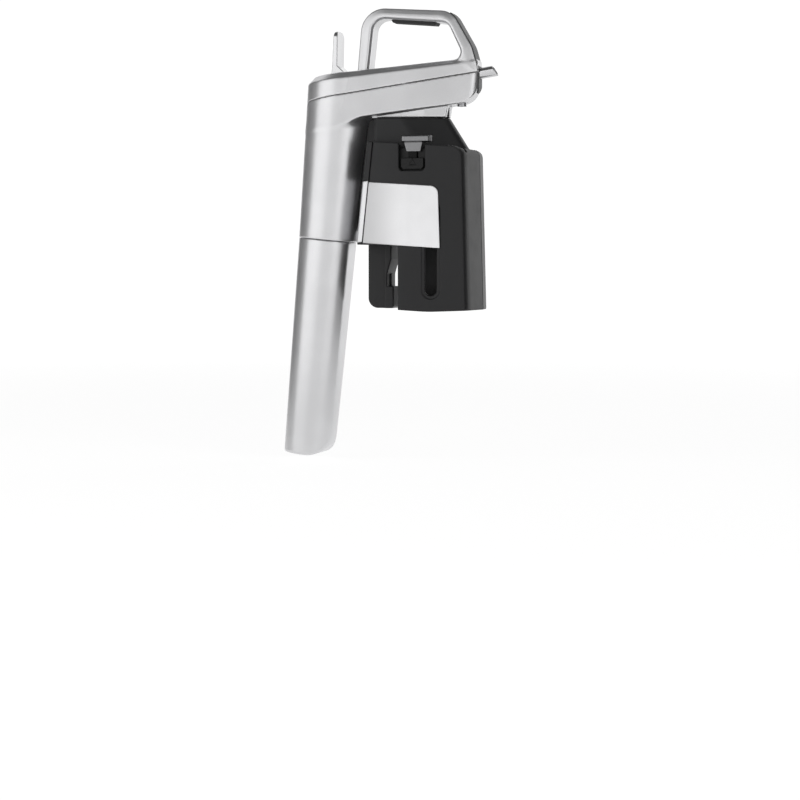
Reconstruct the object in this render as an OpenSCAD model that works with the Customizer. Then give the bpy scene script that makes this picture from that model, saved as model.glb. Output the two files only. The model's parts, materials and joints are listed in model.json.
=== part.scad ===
// Wine preservation dispenser: a body with a loop handle, a needle and a leaning gas-capsule arm,
// sliding on a rail up and down a base that clamps a bottle's neck.
// Millimetres. +X points along the spout, +Z up, and the origin is where the needle's axis
// crosses the plane of the bottle's mouth. The model is drawn with the body lowered.

/* [Needle and travel] */
// How far the body rises to bring the needle out
travel = 62; // [56:1:64]
// Needle outside diameter
needle_d = 1.8; // [1.6:0.1:2.2]
// Depth of the needle's tip below the bottle's mouth
needle_reach = 56; // [52:1:58]

/* [Capsule arm] */
// Lean of the capsule arm from the vertical, in degrees
arm_lean = 5.5; // [4:0.5:7]
// Distance from the needle's axis back to the arm's axis, at the mouth's height
arm_back = 56; // [55:1:59]
// Diameter of the arm at its top
arm_top_d = 34.4; // [33:0.2:35]
// Diameter of the arm where the cup meets it
arm_joint_d = 29.8; // [28:0.2:31]
// Depth of the cup's joint below the bottle's mouth, along the arm
cup_joint = 40.6; // [38:0.2:44]
// Length of the capsule cup
cup_length = 109; // [104:1:116]
// Diameter of the cup at its lower end
cup_end_d = 25.8; // [24:0.2:27]
// Wall of the cup
cup_wall = 2.2; // [1.8:0.1:2.6]
// Diameter of the gas capsule
capsule_d = 18.6; // [18:0.2:19]
// Pitch of the cup's thread
thread_pitch = 1.5; // [1:0.25:2]

/* [Body] */
// Distance from the needle's axis to the front of the body
nose_front = 18.5; // [18:0.1:21]
// Radius of the nose seen from above
nose_r = 6.4; // [5.5:0.1:7.5]
// Height of the seam between body and top cover, at the needle's axis
seam_height = 39.1; // [38.5:0.1:40.5]
// Slope of that seam, in degrees
seam_slope = 8.9; // [8:0.1:9.6]
// Height of the body's underside at the needle's axis
belly_height = 25.3; // [24.5:0.1:26]
// Slope of the underside, in degrees
belly_slope = 7.2; // [6.5:0.1:8]
// Wall of the cast body
body_wall = 2.4; // [2:0.1:2.8]
// Height of the top cover's upper edge at the needle's axis
cover_height = 47.4; // [46.8:0.1:48]
// Slope of the cover's top, in degrees
cover_slope = 5.7; // [5:0.1:6.4]
// Chamfer round the cover's top
cover_chamfer = 2.6; // [2:0.1:3]

/* [Handle] */
// Width of the loop handle across the body
handle_w = 13; // [11:0.5:15]
// Height of the handle's top above the bottle's mouth
handle_top = 74.2; // [70:0.2:78]
// Chamfer on the handle's outer edges
handle_bevel = 0.9; // [0.6:0.1:1.4]
// Thickness of the grip pad under the handle's bar
pad_drop = 1.3; // [1:0.1:1.8]

/* [Trigger] */
// Width of the trigger's blade
trigger_w = 12.6; // [10:0.2:14]
// Thickness of the blade
trigger_t = 2.4; // [2:0.1:3]
// Height of the trigger's tip above the bottle's mouth
trigger_top = 64; // [60:0.5:66]
// How far the trigger swings, in degrees
trigger_swing = 12; // [8:1:14]

/* [Spout] */
// Spout outside diameter
spout_d = 5.6; // [5:0.1:6.2]
// Spout wall
spout_wall = 0.7; // [0.5:0.1:1]
// How far the spout stands out of the nose
spout_out = 7.2; // [5:0.2:10]

/* [Rail] */
// Width of the rail's flange
rail_w = 16; // [14:0.5:17]
// Width of the web that joins the rail to the arm
web_w = 8; // [7:0.5:9]
// Depth of the rail's lower end below the bottle's mouth
rail_reach = 74.6; // [72:0.2:76]
// Running clearance of the rail in the base
rail_gap = 0.3; // [0.25:0.05:0.4]

/* [Base] */
// Height of the base's top above the bottle's mouth
base_top = 19.6; // [19:0.1:19.8]
// Half width of the base core where the arms hang
core_half_w = 14.2; // [13.8:0.1:14.4]
// Half width of the clamp arms over their outer faces
clamp_half_w = 22.6; // [22.4:0.1:23.4]
// Wall of a clamp arm
clamp_wall = 2.2; // [1.8:0.1:2.4]
// Front of the clamp arms at the centre line
clamp_front = 18.6; // [18:0.1:19.4]
// Depth of the clamp arms below the bottle's mouth
clamp_reach = 75.8; // [74:0.2:78]
// How far a clamp arm swings out, in degrees
clamp_swing = 8; // [5:1:9]
// Radius of the bottle neck that the jaws hold
neck_r = 15; // [14.4:0.1:15.4]
// Height of the jaws
jaw_h = 6.4; // [5:0.2:6.8]
// Width of the slot in a clamp arm
slot_w = 6.2; // [5:0.1:7]

/* [Release slides] */
// How far a release button slides up
release_travel = 2.5; // [2:0.1:2.8]
// Width of the release button
button_w = 11.4; // [10.6:0.1:11.8]

/* [Hidden] */
$fn = 64;

big = 200;               // longer than the whole object, for cuts
mesh_fn = 32;            // facets of round shapes inside a hull
gap = 0.3;               // air between pieces of different bodies
fit = 0.05;              // radial running clearance of a pin or a plunger

arm_joint_r = arm_joint_d / 2;
arm_top_s = 38;          // where along the arm its top diameter is measured
arm_taper = (arm_top_d / 2 - arm_joint_r) / (arm_top_s + cup_joint);
capsule_r = capsule_d / 2;
nose_round = 9;          // radius of the nose seen from the side
nose_centre_x = nose_front - nose_round;
hub_r = 3.5;             // needle hub
hub_top = 41.4;
floor_z = 0.5;           // underside of the base core, just above the mouth pad's face
stop_z = base_top + gap; // the body's block comes down to here
spout_r = spout_d / 2;
handle_half = handle_w / 2;

function arm_x(z) = -arm_back + z * tan(arm_lean);
function arm_r(s) = arm_joint_r + (s + cup_joint) * arm_taper;
function seam_z(x) = seam_height + x * tan(seam_slope);
function belly_z(x) = belly_height + x * tan(belly_slope);
function cover_z(x) = cover_height + x * tan(cover_slope);

// Points of an arc about [x, y], from angle a to angle b
function arc(x, y, r, a, b, n = 8) = [for (i = [0:n]) let (t = a + (b - a) * i / n) [x + r * cos(t), y + r * sin(t)]];

// A direction's unit vector, and the fillet of radius r at corner b between points a and c
function unit(v) = v / norm(v);
function fillet(a, b, c, r, n = 8) =
    let (u = unit(a - b), v = unit(c - b), half = acos(u * v) / 2,
         centre = b + unit(u + v) * r / sin(half), p = b + u * r / tan(half), q = b + v * r / tan(half))
    [for (i = [0:n]) let (w = unit((p - centre) * (n - i) / n + (q - centre) * i / n)) centre + w * r];

// Places its children on the capsule arm's axis, s along it from the mouth's height
module on_arm(s) {
    translate([-arm_back, 0, 0]) rotate([0, arm_lean, 0]) translate([0, 0, s]) children();
}

// Stands a side outline, drawn in X and Z, upright across the middle plane
module slab(w) {
    rotate([90, 0, 0]) linear_extrude(height = w, center = true) children();
}

// A cylinder along +X or +Y from its start point
module rod_x(x, y, z, r, l) {
    translate([x, y, z]) rotate([0, 90, 0]) cylinder(r = r, h = l);
}
module rod_y(x, y, z, r, l) {
    translate([x, y, z]) rotate([-90, 0, 0]) cylinder(r = r, h = l);
}
module tube(r, hole, h) {
    difference() {
        cylinder(r = r, h = h);
        translate([0, 0, -1]) cylinder(r = hole, h = h + 2);
    }
}

// A round nose of radius r2 at x2 with straight sides back to where they touch a circle of radius r1 at x1
module taper_plan(x1, r1, x2, r2) {
    t = acos((r1 - r2) / (x2 - x1));
    polygon(concat([[x1 + r1 * cos(t), r1 * sin(t)]], arc(x2, 0, r2, t, -t, 18), [[x1 + r1 * cos(t), -r1 * sin(t)]]));
}

// A piece drawn for the left side, on the side that is asked for
module on_side(side) {
    if (side == "right") mirror([0, 1, 0]) children();
    else children();
}

// ---- Body ----

head_low = 14;           // where along the arm the head's plan starts
head_r = arm_r(arm_top_s);
nose_s = (nose_front - nose_r + arm_back) * cos(arm_lean) - belly_z(nose_front) * sin(arm_lean);

// The outer form of body and cover together, without the side cuts
module head_mass() {
    on_arm(-cup_joint) cylinder(r1 = arm_joint_r, r2 = arm_r(62), h = cup_joint + 62);
    intersection() {
        on_arm(head_low - 8) linear_extrude(height = 70) taper_plan(0, arm_r(head_low + 4), nose_s, nose_r);
        slab(60) head_side();
    }
}

// The head seen from the side: straight underside, rounded nose
module head_side() {
    cz = belly_z(nose_centre_x) + nose_round / cos(belly_slope);
    translate([nose_centre_x, cz]) circle(r = nose_round);
    polygon([[-arm_back, belly_z(-arm_back)],
             [nose_centre_x + nose_round * sin(belly_slope), cz - nose_round * cos(belly_slope)],
             [nose_front, cz], [nose_front, 70], [-arm_back, 70]]);
}

// Everything above the seam, or with up = -1 everything below it
module beyond_seam(up) {
    translate([0, 0, seam_height]) rotate([0, -seam_slope, 0])
        translate([-big / 2, -big / 2, up > 0 ? 0 : -big]) cube(big);
}

cavity_rear = -63;       // the trigger's end of the hollow in the head
cavity_front = 8.6;
cavity_half = [11, 4.4]; // half width at the rear and at the front

// The hollow inside the head, between a sloping floor and roof
module head_cavity(roof) {
    intersection() {
        translate([0, 0, 0]) linear_extrude(height = 60)
            polygon([[cavity_rear, cavity_half[0]], [-44, cavity_half[0]], [cavity_front, cavity_half[1]],
                     [cavity_front, -cavity_half[1]], [-44, -cavity_half[0]], [cavity_rear, -cavity_half[0]]]);
        slab(40) polygon([[cavity_rear, valve_floor], [valve_x + 7, valve_floor],
                          [-36, belly_z(-36) + body_wall], [cavity_front, belly_z(cavity_front) + body_wall],
                          [cavity_front, cover_z(cavity_front) - roof], [cavity_rear, cover_z(cavity_rear) - roof]]);
    }
}

cover_roof = 4.2;        // from the top of the cover down to the hollow
valve_x = -45.6;         // the valve plunger's axis
valve_floor = belly_height - 2.3;
reg_r = 11;              // regulator
reg_low = -36;
reg_top = 17;
spigot_r = 12.2;         // the collar inside the cup
spigot_l = 10;
block_front = 3.6;       // front of the block under the needle hub
block_rear = -35;
web_rear = -37.9;        // back of the rail below the arm
flange_rear = -28.4;
flange_front = -24.9;
screw_r = 1.5;
rail_screw_z = [-20, 8];
nose_screw_x = 9.4;      // the screw under the nose
nose_screw_r = 2.3;      // and its head

// A rail screw's tip stops short of the regulator
function screw_from(z) = arm_x(z) + reg_r / cos(arm_lean) + 0.8;

module body_shell() color("silver") difference() {
    union() {
        difference() {
            head_mass();
            beyond_seam(1);
        }
        on_arm(-cup_joint - spigot_l) cylinder(r = spigot_r, h = spigot_l + 2);
        // block that carries the needle hub and comes down on the base
        intersection() {
            translate([0, 0, stop_z]) linear_extrude(height = 12)
                polygon([[block_rear, 8], [-8, 7.4], [block_front + 1, 5.3],
                         [block_front + 1, -5.3], [-8, -7.4], [block_rear, -8]]);
            slab(30) polygon([[block_rear, stop_z], [block_front - 1.2, stop_z],
                              [block_front, belly_z(block_front) + 1], [block_rear, belly_z(block_rear) + 1]]);
        }
    }
    head_cavity(cover_roof);
    // chamber of the regulator and the capsule
    on_arm(-cup_joint - spigot_l - 1) cylinder(r = capsule_r + 1.2, h = 30);
    on_arm(reg_low) cylinder(r = reg_r + 0.1, h = reg_top - reg_low + 0.1);
    translate([0, 0, stop_z - 1]) cylinder(r = hub_r + 0.05, h = 20);
    spout_bore();
    strip_pocket();
    for (z = rail_screw_z) rod_x(screw_from(z) - 0.5, 0, z, screw_r, 20);
    for (p = cover_screw_at) translate([p[0], p[1], seam_z(p[0]) - 8]) cylinder(r = screw_r, h = 12);
    nose_screw_hole();
    // gas way from the regulator to the valve
    gas_way();
}

cover_screw_at = [[-56, 13.2], [-56, -13.2], [-18, 9.6], [-18, -9.6]];

module gas_way() {
    on_arm(reg_top - 2) cylinder(r = 1.4, h = 12);
    rod_x(arm_x(valve_floor + 3.4), 0, valve_floor + 3.4, 1.1, 6);
}

module spout_line() {
    translate([3, 0, seam_z(3) - 0.6]) rotate([0, 90 - seam_slope, 0]) children();
}
module spout_bore() {
    spout_line() {
        cylinder(r = spout_r + 0.05, h = 30);
        translate([0, 0, 8]) cylinder(r = spout_r + 1.15, h = 1.5);
    }
}
module nose_screw_hole() {
    translate([nose_screw_x, 0, belly_z(nose_screw_x) - 2]) {
        cylinder(r = screw_r, h = 8);
        cylinder(r = nose_screw_r + 0.1, h = 2.8);
    }
}

// The cover's top slab with its chamfer, in the slope of the cover's top
module chamfered_head() {
    x = arm_x(cover_height - 4);
    intersection() {
        head_mass();
        translate([x, 0, cover_z(x)]) rotate([0, -cover_slope, 0]) hull() for (e = [[0, head_r + 0.1], [nose_front - x, nose_r - 0.4]])
            translate([e[0] - (e[0] > 0 ? nose_r : 0), 0, -30])
                cylinder(r1 = e[1] - cover_chamfer + 30, r2 = e[1] - cover_chamfer, h = 30, $fn = 2 * mesh_fn);
    }
}

// Corner points of the handle's outer and inner outline, in X and Z, with their fillets
bar_t = 5.8;             // depth of the handle's bar
top_l = [-40.2, handle_top + 0.8];
top_r = [5, handle_top - 2.1];
knee = [15.3, 54.4];
foot_r = [nose_front, seam_z(nose_front) + 1.4];
foot_l = [-43.3, 40];
outer_line = concat([foot_l], fillet(foot_l, top_l, top_r, 12), fillet(top_l, top_r, knee, 9.5),
                    fillet(top_r, knee, foot_r, 16), [foot_r]);
in_foot_l = foot_l + [bar_t, 0];
in_top_l = top_l + [bar_t + 0.2, 0.1 - bar_t];
in_top_r = top_r + [-1.8, -bar_t - 0.2];
in_knee = [11.2, 49.4];
in_foot_r = [0, cover_z(0) - 1.2];
inner_line = concat([in_foot_l], fillet(in_foot_l, in_top_l, in_top_r, 6), fillet(in_top_l, in_top_r, in_knee, 5.4),
                    fillet(in_top_r, in_knee, in_foot_r, 4), [in_foot_r]);

// The loop: rings of eight points between the two outlines, bevelled to both edges
module handle_loop() {
    n = len(outer_line);
    half_out = handle_half - handle_bevel;
    half_in = handle_half - 1.6;
    ring = [for (i = [0:n - 1])
        let (o = outer_line[i], q = inner_line[i], w = unit(q - o), a = o + w * 0.7, b = q - w * 1.2)
        each [[o[0], half_out, o[1]], [a[0], handle_half, a[1]], [b[0], handle_half, b[1]], [q[0], half_in, q[1]],
              [q[0], -half_in, q[1]], [b[0], -handle_half, b[1]], [a[0], -handle_half, a[1]], [o[0], -half_out, o[1]]]];
    sides = [for (i = [0:n - 2]) for (j = [0:7])
        let (k = (j + 1) % 8) each [[8 * i + j, 8 * i + k, 8 * i + 8 + k], [8 * i + j, 8 * i + 8 + k, 8 * i + 8 + j]]];
    ends = [for (j = [1:6]) each [[0, j + 1, j], [8 * n - 8, 8 * n - 8 + j, 8 * n - 8 + j + 1]]];
    polyhedron(ring, concat(sides, ends));
}

trigger_at = [-53.4, 37.6];   // the trigger's pin
trigger_slot = [-60.2, -45.6];

module top_cover() color("silver") difference() {
    union() {
        difference() {
            chamfered_head();
            translate([0, 0, gap / 6]) beyond_seam(-1);
        }
        handle_loop();
    }
    head_cavity(cover_roof);
    translate([trigger_slot[0], -trigger_w / 2 - gap, 34])
        cube([trigger_slot[1] - trigger_slot[0], trigger_w + 2 * gap, cover_z(trigger_slot[1]) - 31]);
    // room over the plunger and its spring
    translate([valve_x, 0, valve_floor]) cylinder(r = valve_r + 2, h = 12 + 2 * gap);
    rod_y(trigger_at[0], -13, trigger_at[1], pin_r, 26);
    translate([0, 0, stop_z]) cylinder(r = hub_r + 0.05, h = hub_top - stop_z + 0.1);
    spout_bore();
    strip_pocket();
    for (p = cover_screw_at) translate([p[0], p[1], seam_z(p[0]) - 2]) cylinder(r = screw_r, h = 5.6);
}

pin_r = 1.5;
strip_t = 0.9;
strip_half = 3.7;
strip_flare = 1.5;       // how much wider it is on the handle, to each side

// A thin layer over the head's front edge and the handle's right leg, out = how far it stands proud
module strip_form(out, half) {
    cz = belly_z(nose_centre_x) + nose_round / cos(belly_slope);
    lead = [for (i = [12:len(outer_line) - 2]) outer_line[i]];
    tail = arc(nose_centre_x, cz, nose_round, 0, -26, 6);
    front = concat(lead, [foot_r], tail);
    n = len(front);
    off = [for (i = [0:n - 1])
        let (t = unit(front[min(i + 1, n - 1)] - front[max(i - 1, 0)])) front[i] + [-t[1], t[0]] * out];
    back = [for (i = [n - 1:-1:0])
        let (t = unit(front[min(i + 1, n - 1)] - front[max(i - 1, 0)])) front[i] - [-t[1], t[0]] * strip_t];
    wide = half + strip_flare;
    intersection() {
        slab(2 * wide) polygon(concat(off, back));
        // seen from the front: wider on the handle's leg, with a pointed lower end
        translate([-20, 0, 0]) rotate([90, 0, 90]) linear_extrude(height = 60)
            polygon([[-wide, 90], [-wide, 52], [-half, 46], [-half, 34.4], [-half * 0.55, 32.2], [0, 31.2],
                     [half * 0.55, 32.2], [half, 34.4], [half, 46], [wide, 52], [wide, 90]]);
    }
}
module strip_pocket() {
    strip_form(2, strip_half + 0.02);
}
module upper_front_strip() color("dimgray") difference() {
    strip_form(0.45, strip_half);
    translate([0, 0, 0.3]) beyond_seam(-1);
    spout_bore();
}
module lower_front_strip() color("dimgray") difference() {
    strip_form(0.3, strip_half);
    translate([0, 0, -0.3]) beyond_seam(1);
    spout_bore();
}

// Two ribs along the underside of the handle's bar
pad_rear = 8.2;          // from the opening's upper corners to the pad's ends
pad_front = 5.5;

module grip_pad() color("black") {
    run = (in_top_r[1] - in_top_l[1]) / (in_top_r[0] - in_top_l[0]);
    l = in_top_r[0] - in_top_l[0] - pad_rear - pad_front;
    translate([in_top_l[0] + pad_rear, 0, in_top_l[1] + pad_rear * run]) rotate([0, -atan(run), 0]) difference() {
        translate([0, -4.4, -pad_drop]) cube([l, 8.8, pad_drop]);
        translate([-1, 0, -pad_drop]) rotate([0, 90, 0]) cylinder(r = 0.7, h = l + 2);
        for (e = [0, l]) translate([e, 0, -pad_drop]) rotate([90, 0, 0]) cylinder(r = 0.9, h = 12, center = true);
    }
}

module spout() color("gainsboro") difference() {
    spout_line() cylinder(r = spout_r, h = (nose_front - 3) / cos(seam_slope) + spout_out + 1.8);
    spout_line() translate([0, 0, -1]) cylinder(r = spout_r - spout_wall, h = 60);
    translate([nose_front + spout_out + 0.7, 0, seam_z(nose_front + spout_out) - 0.6])
        rotate([0, -32, 0]) translate([0, -20, -20]) cube(40);
    translate([0, 0, stop_z]) cylinder(r = hub_r + 0.1, h = 30);
}
module spout_seal() color("black") spout_line() translate([0, 0, 8]) difference() {
    cylinder(r = spout_r + 1.1, h = 1.4);
    translate([0, 0, -1]) cylinder(r = spout_r, h = 4);
}

module needle() color("silver") difference() {
    translate([0, 0, -needle_reach]) cylinder(r = needle_d / 2, h = needle_reach + stop_z + 9);
    translate([0, 0, -needle_reach + 3]) cylinder(r = needle_d / 2 - 0.35, h = 90);
    translate([0, 0, -needle_reach]) rotate([0, 62, 0]) translate([-6, -3, -6]) cube([6, 6, 6]);
    rod_y(0, -3, -needle_reach + 5, 0.3, 6);
}
module needle_hub() color("goldenrod") difference() {
    translate([0, 0, stop_z + 0.2]) cylinder(r = hub_r, h = hub_top - stop_z - 0.2);
    translate([0, 0, stop_z - 1]) cylinder(r = needle_d / 2 + 0.02, h = 12);
    translate([0, 0, stop_z + 10]) cylinder(r = 1, h = hub_top - stop_z - 13);
    spout_line() translate([0, 0, -3.2]) cylinder(r = spout_r - spout_wall, h = 6);
    rod_x(-hub_r - 1, 0, gas_z, 1.5, hub_r + 1);
}
module needle_seal() color("black") translate([0, 0, stop_z + 0.2]) difference() {
    translate([0, 0, -0.15]) cylinder(r = hub_r - 0.4, h = 0.15);
    translate([0, 0, -1]) cylinder(r = needle_d / 2 + 0.02, h = 3);
}

// ---- Rail ----

module rail() color("#2b2b2b") difference() {
    union() {
        // web: its lower end has a rounded back corner
        slab(web_w) polygon(concat([[flange_rear, stop_z], [-45, stop_z], [-45, -36.4], [web_rear, -36.4]],
            fillet([web_rear, -40], [web_rear, -rail_reach], [flange_rear, -rail_reach], 5), [[flange_rear, -rail_reach]]));
        slab(rail_w) polygon([[flange_rear, stop_z], [flange_rear, -50], [flange_rear, -rail_reach],
            [flange_front + 0.4, -rail_reach], [flange_front + 1.2, -rail_reach + 0.8], [flange_front + 1.2, -63.6],
            [flange_rear + 1.4, -63.6], [flange_rear + 1.4, -57.4], [flange_front, -50], [flange_front, stop_z]]);
    }
    arm_clear();
    beyond_belly();
    for (z = rail_screw_z) {
        rod_x(-48, 0, z, screw_r + 0.1, 30);
        rod_x(flange_rear, 0, z, 2.8, 6);
    }
    translate([flange_rear + 0.5, -2.05, -63.6]) cube([2, 4.1, 6.2]);
}
module arm_clear() {
    on_arm(-cup_joint - 4) cylinder(r1 = arm_r(-cup_joint - 4) + 0.03, r2 = arm_r(62) + 0.03, h = 62 + cup_joint + 4);
}
module beyond_belly() {
    translate([0, 0, belly_height - 0.02]) rotate([0, -belly_slope, 0]) translate([-big / 2, -big / 2, 0]) cube(big);
}
module rail_catch() color("silver") translate([flange_rear + 0.6, -2, -63.5]) cube([1.5, 4, 6]);

module rail_screws() color("silver") for (z = rail_screw_z) {
    rod_x(screw_from(z), 0, z, screw_r, flange_rear + 0.4 - screw_from(z));
    difference() {
        rod_x(flange_rear + 0.2, 0, z, 2.6, 2.4);
        rod_x(flange_rear + 1.4, 0, z, 1.2, 3);
    }
}

// ---- Regulator and valve ----

gas_z = valve_floor + 5.9;   // the gas tube's height
valve_r = 2;             // plunger
plunger_travel = 1.5;
valve_top = valve_floor + 8;
valve_rear = -57.6;

module regulator_body() color("goldenrod") on_arm(0) difference() {
    translate([0, 0, reg_low + 0.1]) cylinder(r = reg_r, h = reg_top - reg_low - 0.1);
    translate([0, 0, reg_low - 1]) cylinder(r = 9.4, h = 5);
    translate([0, 0, reg_low]) cylinder(r = 6.2, h = 12);
    translate([0, 0, -18]) cylinder(r = 8, h = 27);
    translate([0, 0, reg_low]) cylinder(r = 1.3, h = 70);
}
module capsule_seal() color("black") on_arm(reg_low + 9.5) tube(6.1, 1.6, 2);
module pierce_pin() color("silver") on_arm(reg_low + 8) difference() {
    union() {
        cylinder(r = 1.25, h = 9);
        translate([0, 0, -2.4]) cylinder(r1 = 0.3, r2 = 1.25, h = 2.4);
    }
    translate([0, 0, 0]) cylinder(r = 0.5, h = 12);
}
module regulator_piston() color("silver") on_arm(-14) difference() {
    union() {
        cylinder(r = 7.95, h = 3.4);
        cylinder(r = 3, h = 8);
    }
    translate([0, 0, -1]) cylinder(r = 1.2, h = 12);
}
module regulator_spring() color("gray") on_arm(-10.6) tube(6.4, 4.6, 19.5);

module valve_body() color("goldenrod") difference() {
    translate([valve_rear, -6, valve_floor]) cube([valve_x + 6 - valve_rear, 12, valve_top - valve_floor]);
    gas_way();
    translate([valve_x, 0, valve_floor + 0.8]) cylinder(r = valve_r + fit, h = 20);
    translate([valve_x, 0, valve_floor + 2.2]) cylinder(r = 3.3, h = 3.4);
    rod_x(valve_x + 3, 0, gas_z, 1.5, 6);
}
module gas_tube() color("silver") difference() {
    rod_x(valve_x + 3.4, 0, gas_z, 1.45, -valve_x - 3.4 - hub_r + 1);
    rod_x(valve_x, 0, gas_z, 0.8, 60);
}
module valve_plunger() color("silver") difference() {
    union() {
        translate([valve_x, 0, valve_floor + 2.6]) cylinder(r = valve_r, h = 9);
        translate([valve_x, 0, valve_floor + 11]) cylinder(r = 3.4, h = 1);
    }
    translate([valve_x, 0, valve_floor + 4]) difference() {
        cylinder(r = 3, h = 1.4);
        translate([0, 0, -1]) cylinder(r = 1.5, h = 4);
    }
}
module plunger_seal() color("black") translate([valve_x, 0, valve_floor + 4.1]) tube(2.7, 1.5, 1.2);
module valve_spring() color("gray") translate([valve_x, 0, valve_top + 0.05]) tube(3.2, 2.4, 2.9);

// ---- Trigger ----

module trigger() color("gainsboro") difference() {
    union() {
        // blade that leans back a little, with a foot that widens down to the pin
        slab(trigger_w) polygon(concat(
            [[-54.5, trigger_top], [-55.2, trigger_top - 0.9], [-56, 46], [-56.8, 40]],
            arc(trigger_at[0], trigger_at[1], 3.4, 200, 290, 6), [trigger_nose - [4.6, 0.8]],
            arc(trigger_nose[0], trigger_nose[1], 1.3, 260, 420, 10), [[-49.4, 40.4], [-50.2, 43.6], [trigger_t - 55.8, 46.6], [trigger_t - 55.1, trigger_top - 2.6],
             [trigger_t - 55.5, trigger_top - 0.4]]));
        rod_y(trigger_at[0], -trigger_w / 2, trigger_at[1], 3.4, trigger_w);
    }
    rod_y(trigger_at[0], -10, trigger_at[1], pin_r + fit, 20);
    // rounded upper corners
    for (m = [0, 1]) mirror([0, m, 0]) translate([-70, trigger_w / 2 - 4, trigger_top - 4])
        difference() {
            cube([30, 5, 5]);
            translate([-1, 0, 0]) rotate([0, 90, 0]) cylinder(r = 4, h = 40);
        }
    // the nose that presses the plunger is narrow
    for (m = [0, 1]) mirror([0, m, 0]) translate([-49.6, 3.4, 30]) cube([8, 8, 11]);
}
// Centre of the trigger's rounded nose, just over the plunger's head
trigger_nose = [-46, valve_floor + 12 + 1.4];

module trigger_pin() color("silver") rod_y(trigger_at[0], -12, trigger_at[1], pin_r, 24);
module cover_screws() color("dimgray") for (p = cover_screw_at)
    translate([p[0], p[1], seam_z(p[0]) - 7]) cylinder(r = screw_r - 0.05, h = 10);
module nose_screw() color("gray") translate([nose_screw_x, 0, belly_z(nose_screw_x)]) difference() {
    union() {
        translate([0, 0, -1.2]) cylinder(r = nose_screw_r, h = 1.95);
        cylinder(r = screw_r - 0.05, h = 5.5);
    }
    translate([0, 0, -2]) cylinder(r = 1, h = 1.8, $fn = 6);
}

// ---- Capsule and cup ----

cup_gap = 0.15;          // joint line between body and cup
cup_top_s = -cup_joint - cup_gap;
capsule_top_s = reg_low + 9.4;
capsule_l = 100;
capsule_low_s = capsule_top_s - capsule_l;

capsule_wall = 1.3;
module gas_capsule() color("#b8b0a0") on_arm(capsule_low_s) rotate_extrude() polygon(concat([[0, 0]],
    arc(capsule_r - 4, 4, 4, -90, 0), arc(capsule_r - 7, capsule_l - 16, 7, 0, 60),
    [[4, capsule_l - 7], [4, capsule_l], [1.7, capsule_l], [1.7, capsule_l - 9]],
    arc(capsule_r - 7, capsule_l - 17, 7 - capsule_wall, 60, 0), arc(capsule_r - 4, 4, 4 - capsule_wall, 0, -90),
    [[0, capsule_wall]]));

// Outer radius of the cup at s along the arm
function cup_r(s) = arm_joint_r + (s + cup_joint) * (arm_joint_r - cup_end_d / 2) / cup_length;

module capsule_cup() color("silver") on_arm(0) {
    low = -cup_joint - cup_length;
    bend = 12;           // radius of the cup's lower front corner
    difference() {
        intersection() {
            translate([0, 0, low]) rotate_extrude() polygon(concat([[0, 0]],
                arc(cup_end_d / 2 - 1.2, 1.2, 1.2, -90, 0, 5), [[arm_joint_r, cup_length - cup_gap], [0, cup_length - cup_gap]]));
            slab(60) {
                translate([cup_end_d / 2 - bend + 0.3, low + bend]) circle(r = bend);
                polygon([[-30, low], [cup_end_d / 2 - bend + 0.3, low], [cup_end_d / 2 + 0.3, low + bend],
                         [30, low + bend], [30, 0], [-30, 0]]);
            }
        }
        translate([0, 0, cup_top_s - spigot_l - 1.5]) cylinder(r = spigot_r + 0.25, h = 40);
        translate([0, 0, capsule_low_s - 0.1]) cylinder(r = capsule_r + 0.3, h = 60);
        // above the capsule's pocket the wall is thin and even
        translate([0, 0, low + 46]) cylinder(r1 = cup_r(low + 46) - cup_wall, r2 = cup_r(cup_top_s - spigot_l) - cup_wall - 0.2,
            h = cup_top_s - spigot_l - low - 46);
    }
}
module cup_seal() color("black") on_arm(cup_top_s - spigot_l - 1.5) tube(spigot_r, 10.4, 0.8);

// ---- Base ----

bend_from = -12;         // the sides run straight in front of this and curve in behind it
bend_r = 90;
trim_t = 0.8;            // silver plates and trims
arm_tilt = 1.5;          // the arms widen a little towards their lower end

function back_x(z) = -35 + z * tan(6.5);
function arm_top_z(x) = 5.7 - x * tan(3.9);

// Half of the base seen from above, inset from the arms' outer faces
module side_plan(inset, front) {
    w = clamp_half_w - inset;
    translate([bend_from, 0]) square([front - bend_from, w]);
    intersection() {
        translate([-60, 0]) square([60 + bend_from, w]);
        translate([bend_from, clamp_half_w - bend_r]) circle(r = bend_r - inset);
    }
}

// The same from the front wall: two shallow slopes that meet at the centre line
module arm_plan(inset) {
    corner = clamp_front - 3.6;
    intersection() {
        side_plan(inset, clamp_front + 5);
        polygon([[-60, 0], [clamp_front - inset, 0], [corner + 0.9 - inset, clamp_half_w - 3],
                 [corner - inset, clamp_half_w - 0.9], [corner - 1.6 - inset, clamp_half_w + 1], [-60, clamp_half_w + 1]]);
    }
}

channel_front = flange_front + 1.2 + 2 * rail_gap;
channel_half = rail_w / 2 + rail_gap;
core_inset = clamp_wall + 1.4;
head_rear = -32.6;
core_low = -43;
back_t = 3.1;            // how far the core's full-width back reaches forward
pivot = [17.4, 3];       // a clamp arm's hinge, in Y and Z
hinge_pin_r = 1.2;
knuckle_r = 2.6;
rear_ears = [[-30, -27.2], [-23.6, -20.8]];
front_ears = [[-2.6, 0.4], [4.2, 7]];
rear_knuckle = [-26.9, -23.9];
front_knuckle = [0.7, 3.9];
cheek_front = -3.2;
head_top_front = 3.5;    // the core's slanted front, at its top and its foot
head_low_front = 12.9;
head_lean = atan((head_low_front - head_top_front) / (base_top - 4.9));
head_nose_r = 6;

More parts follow.
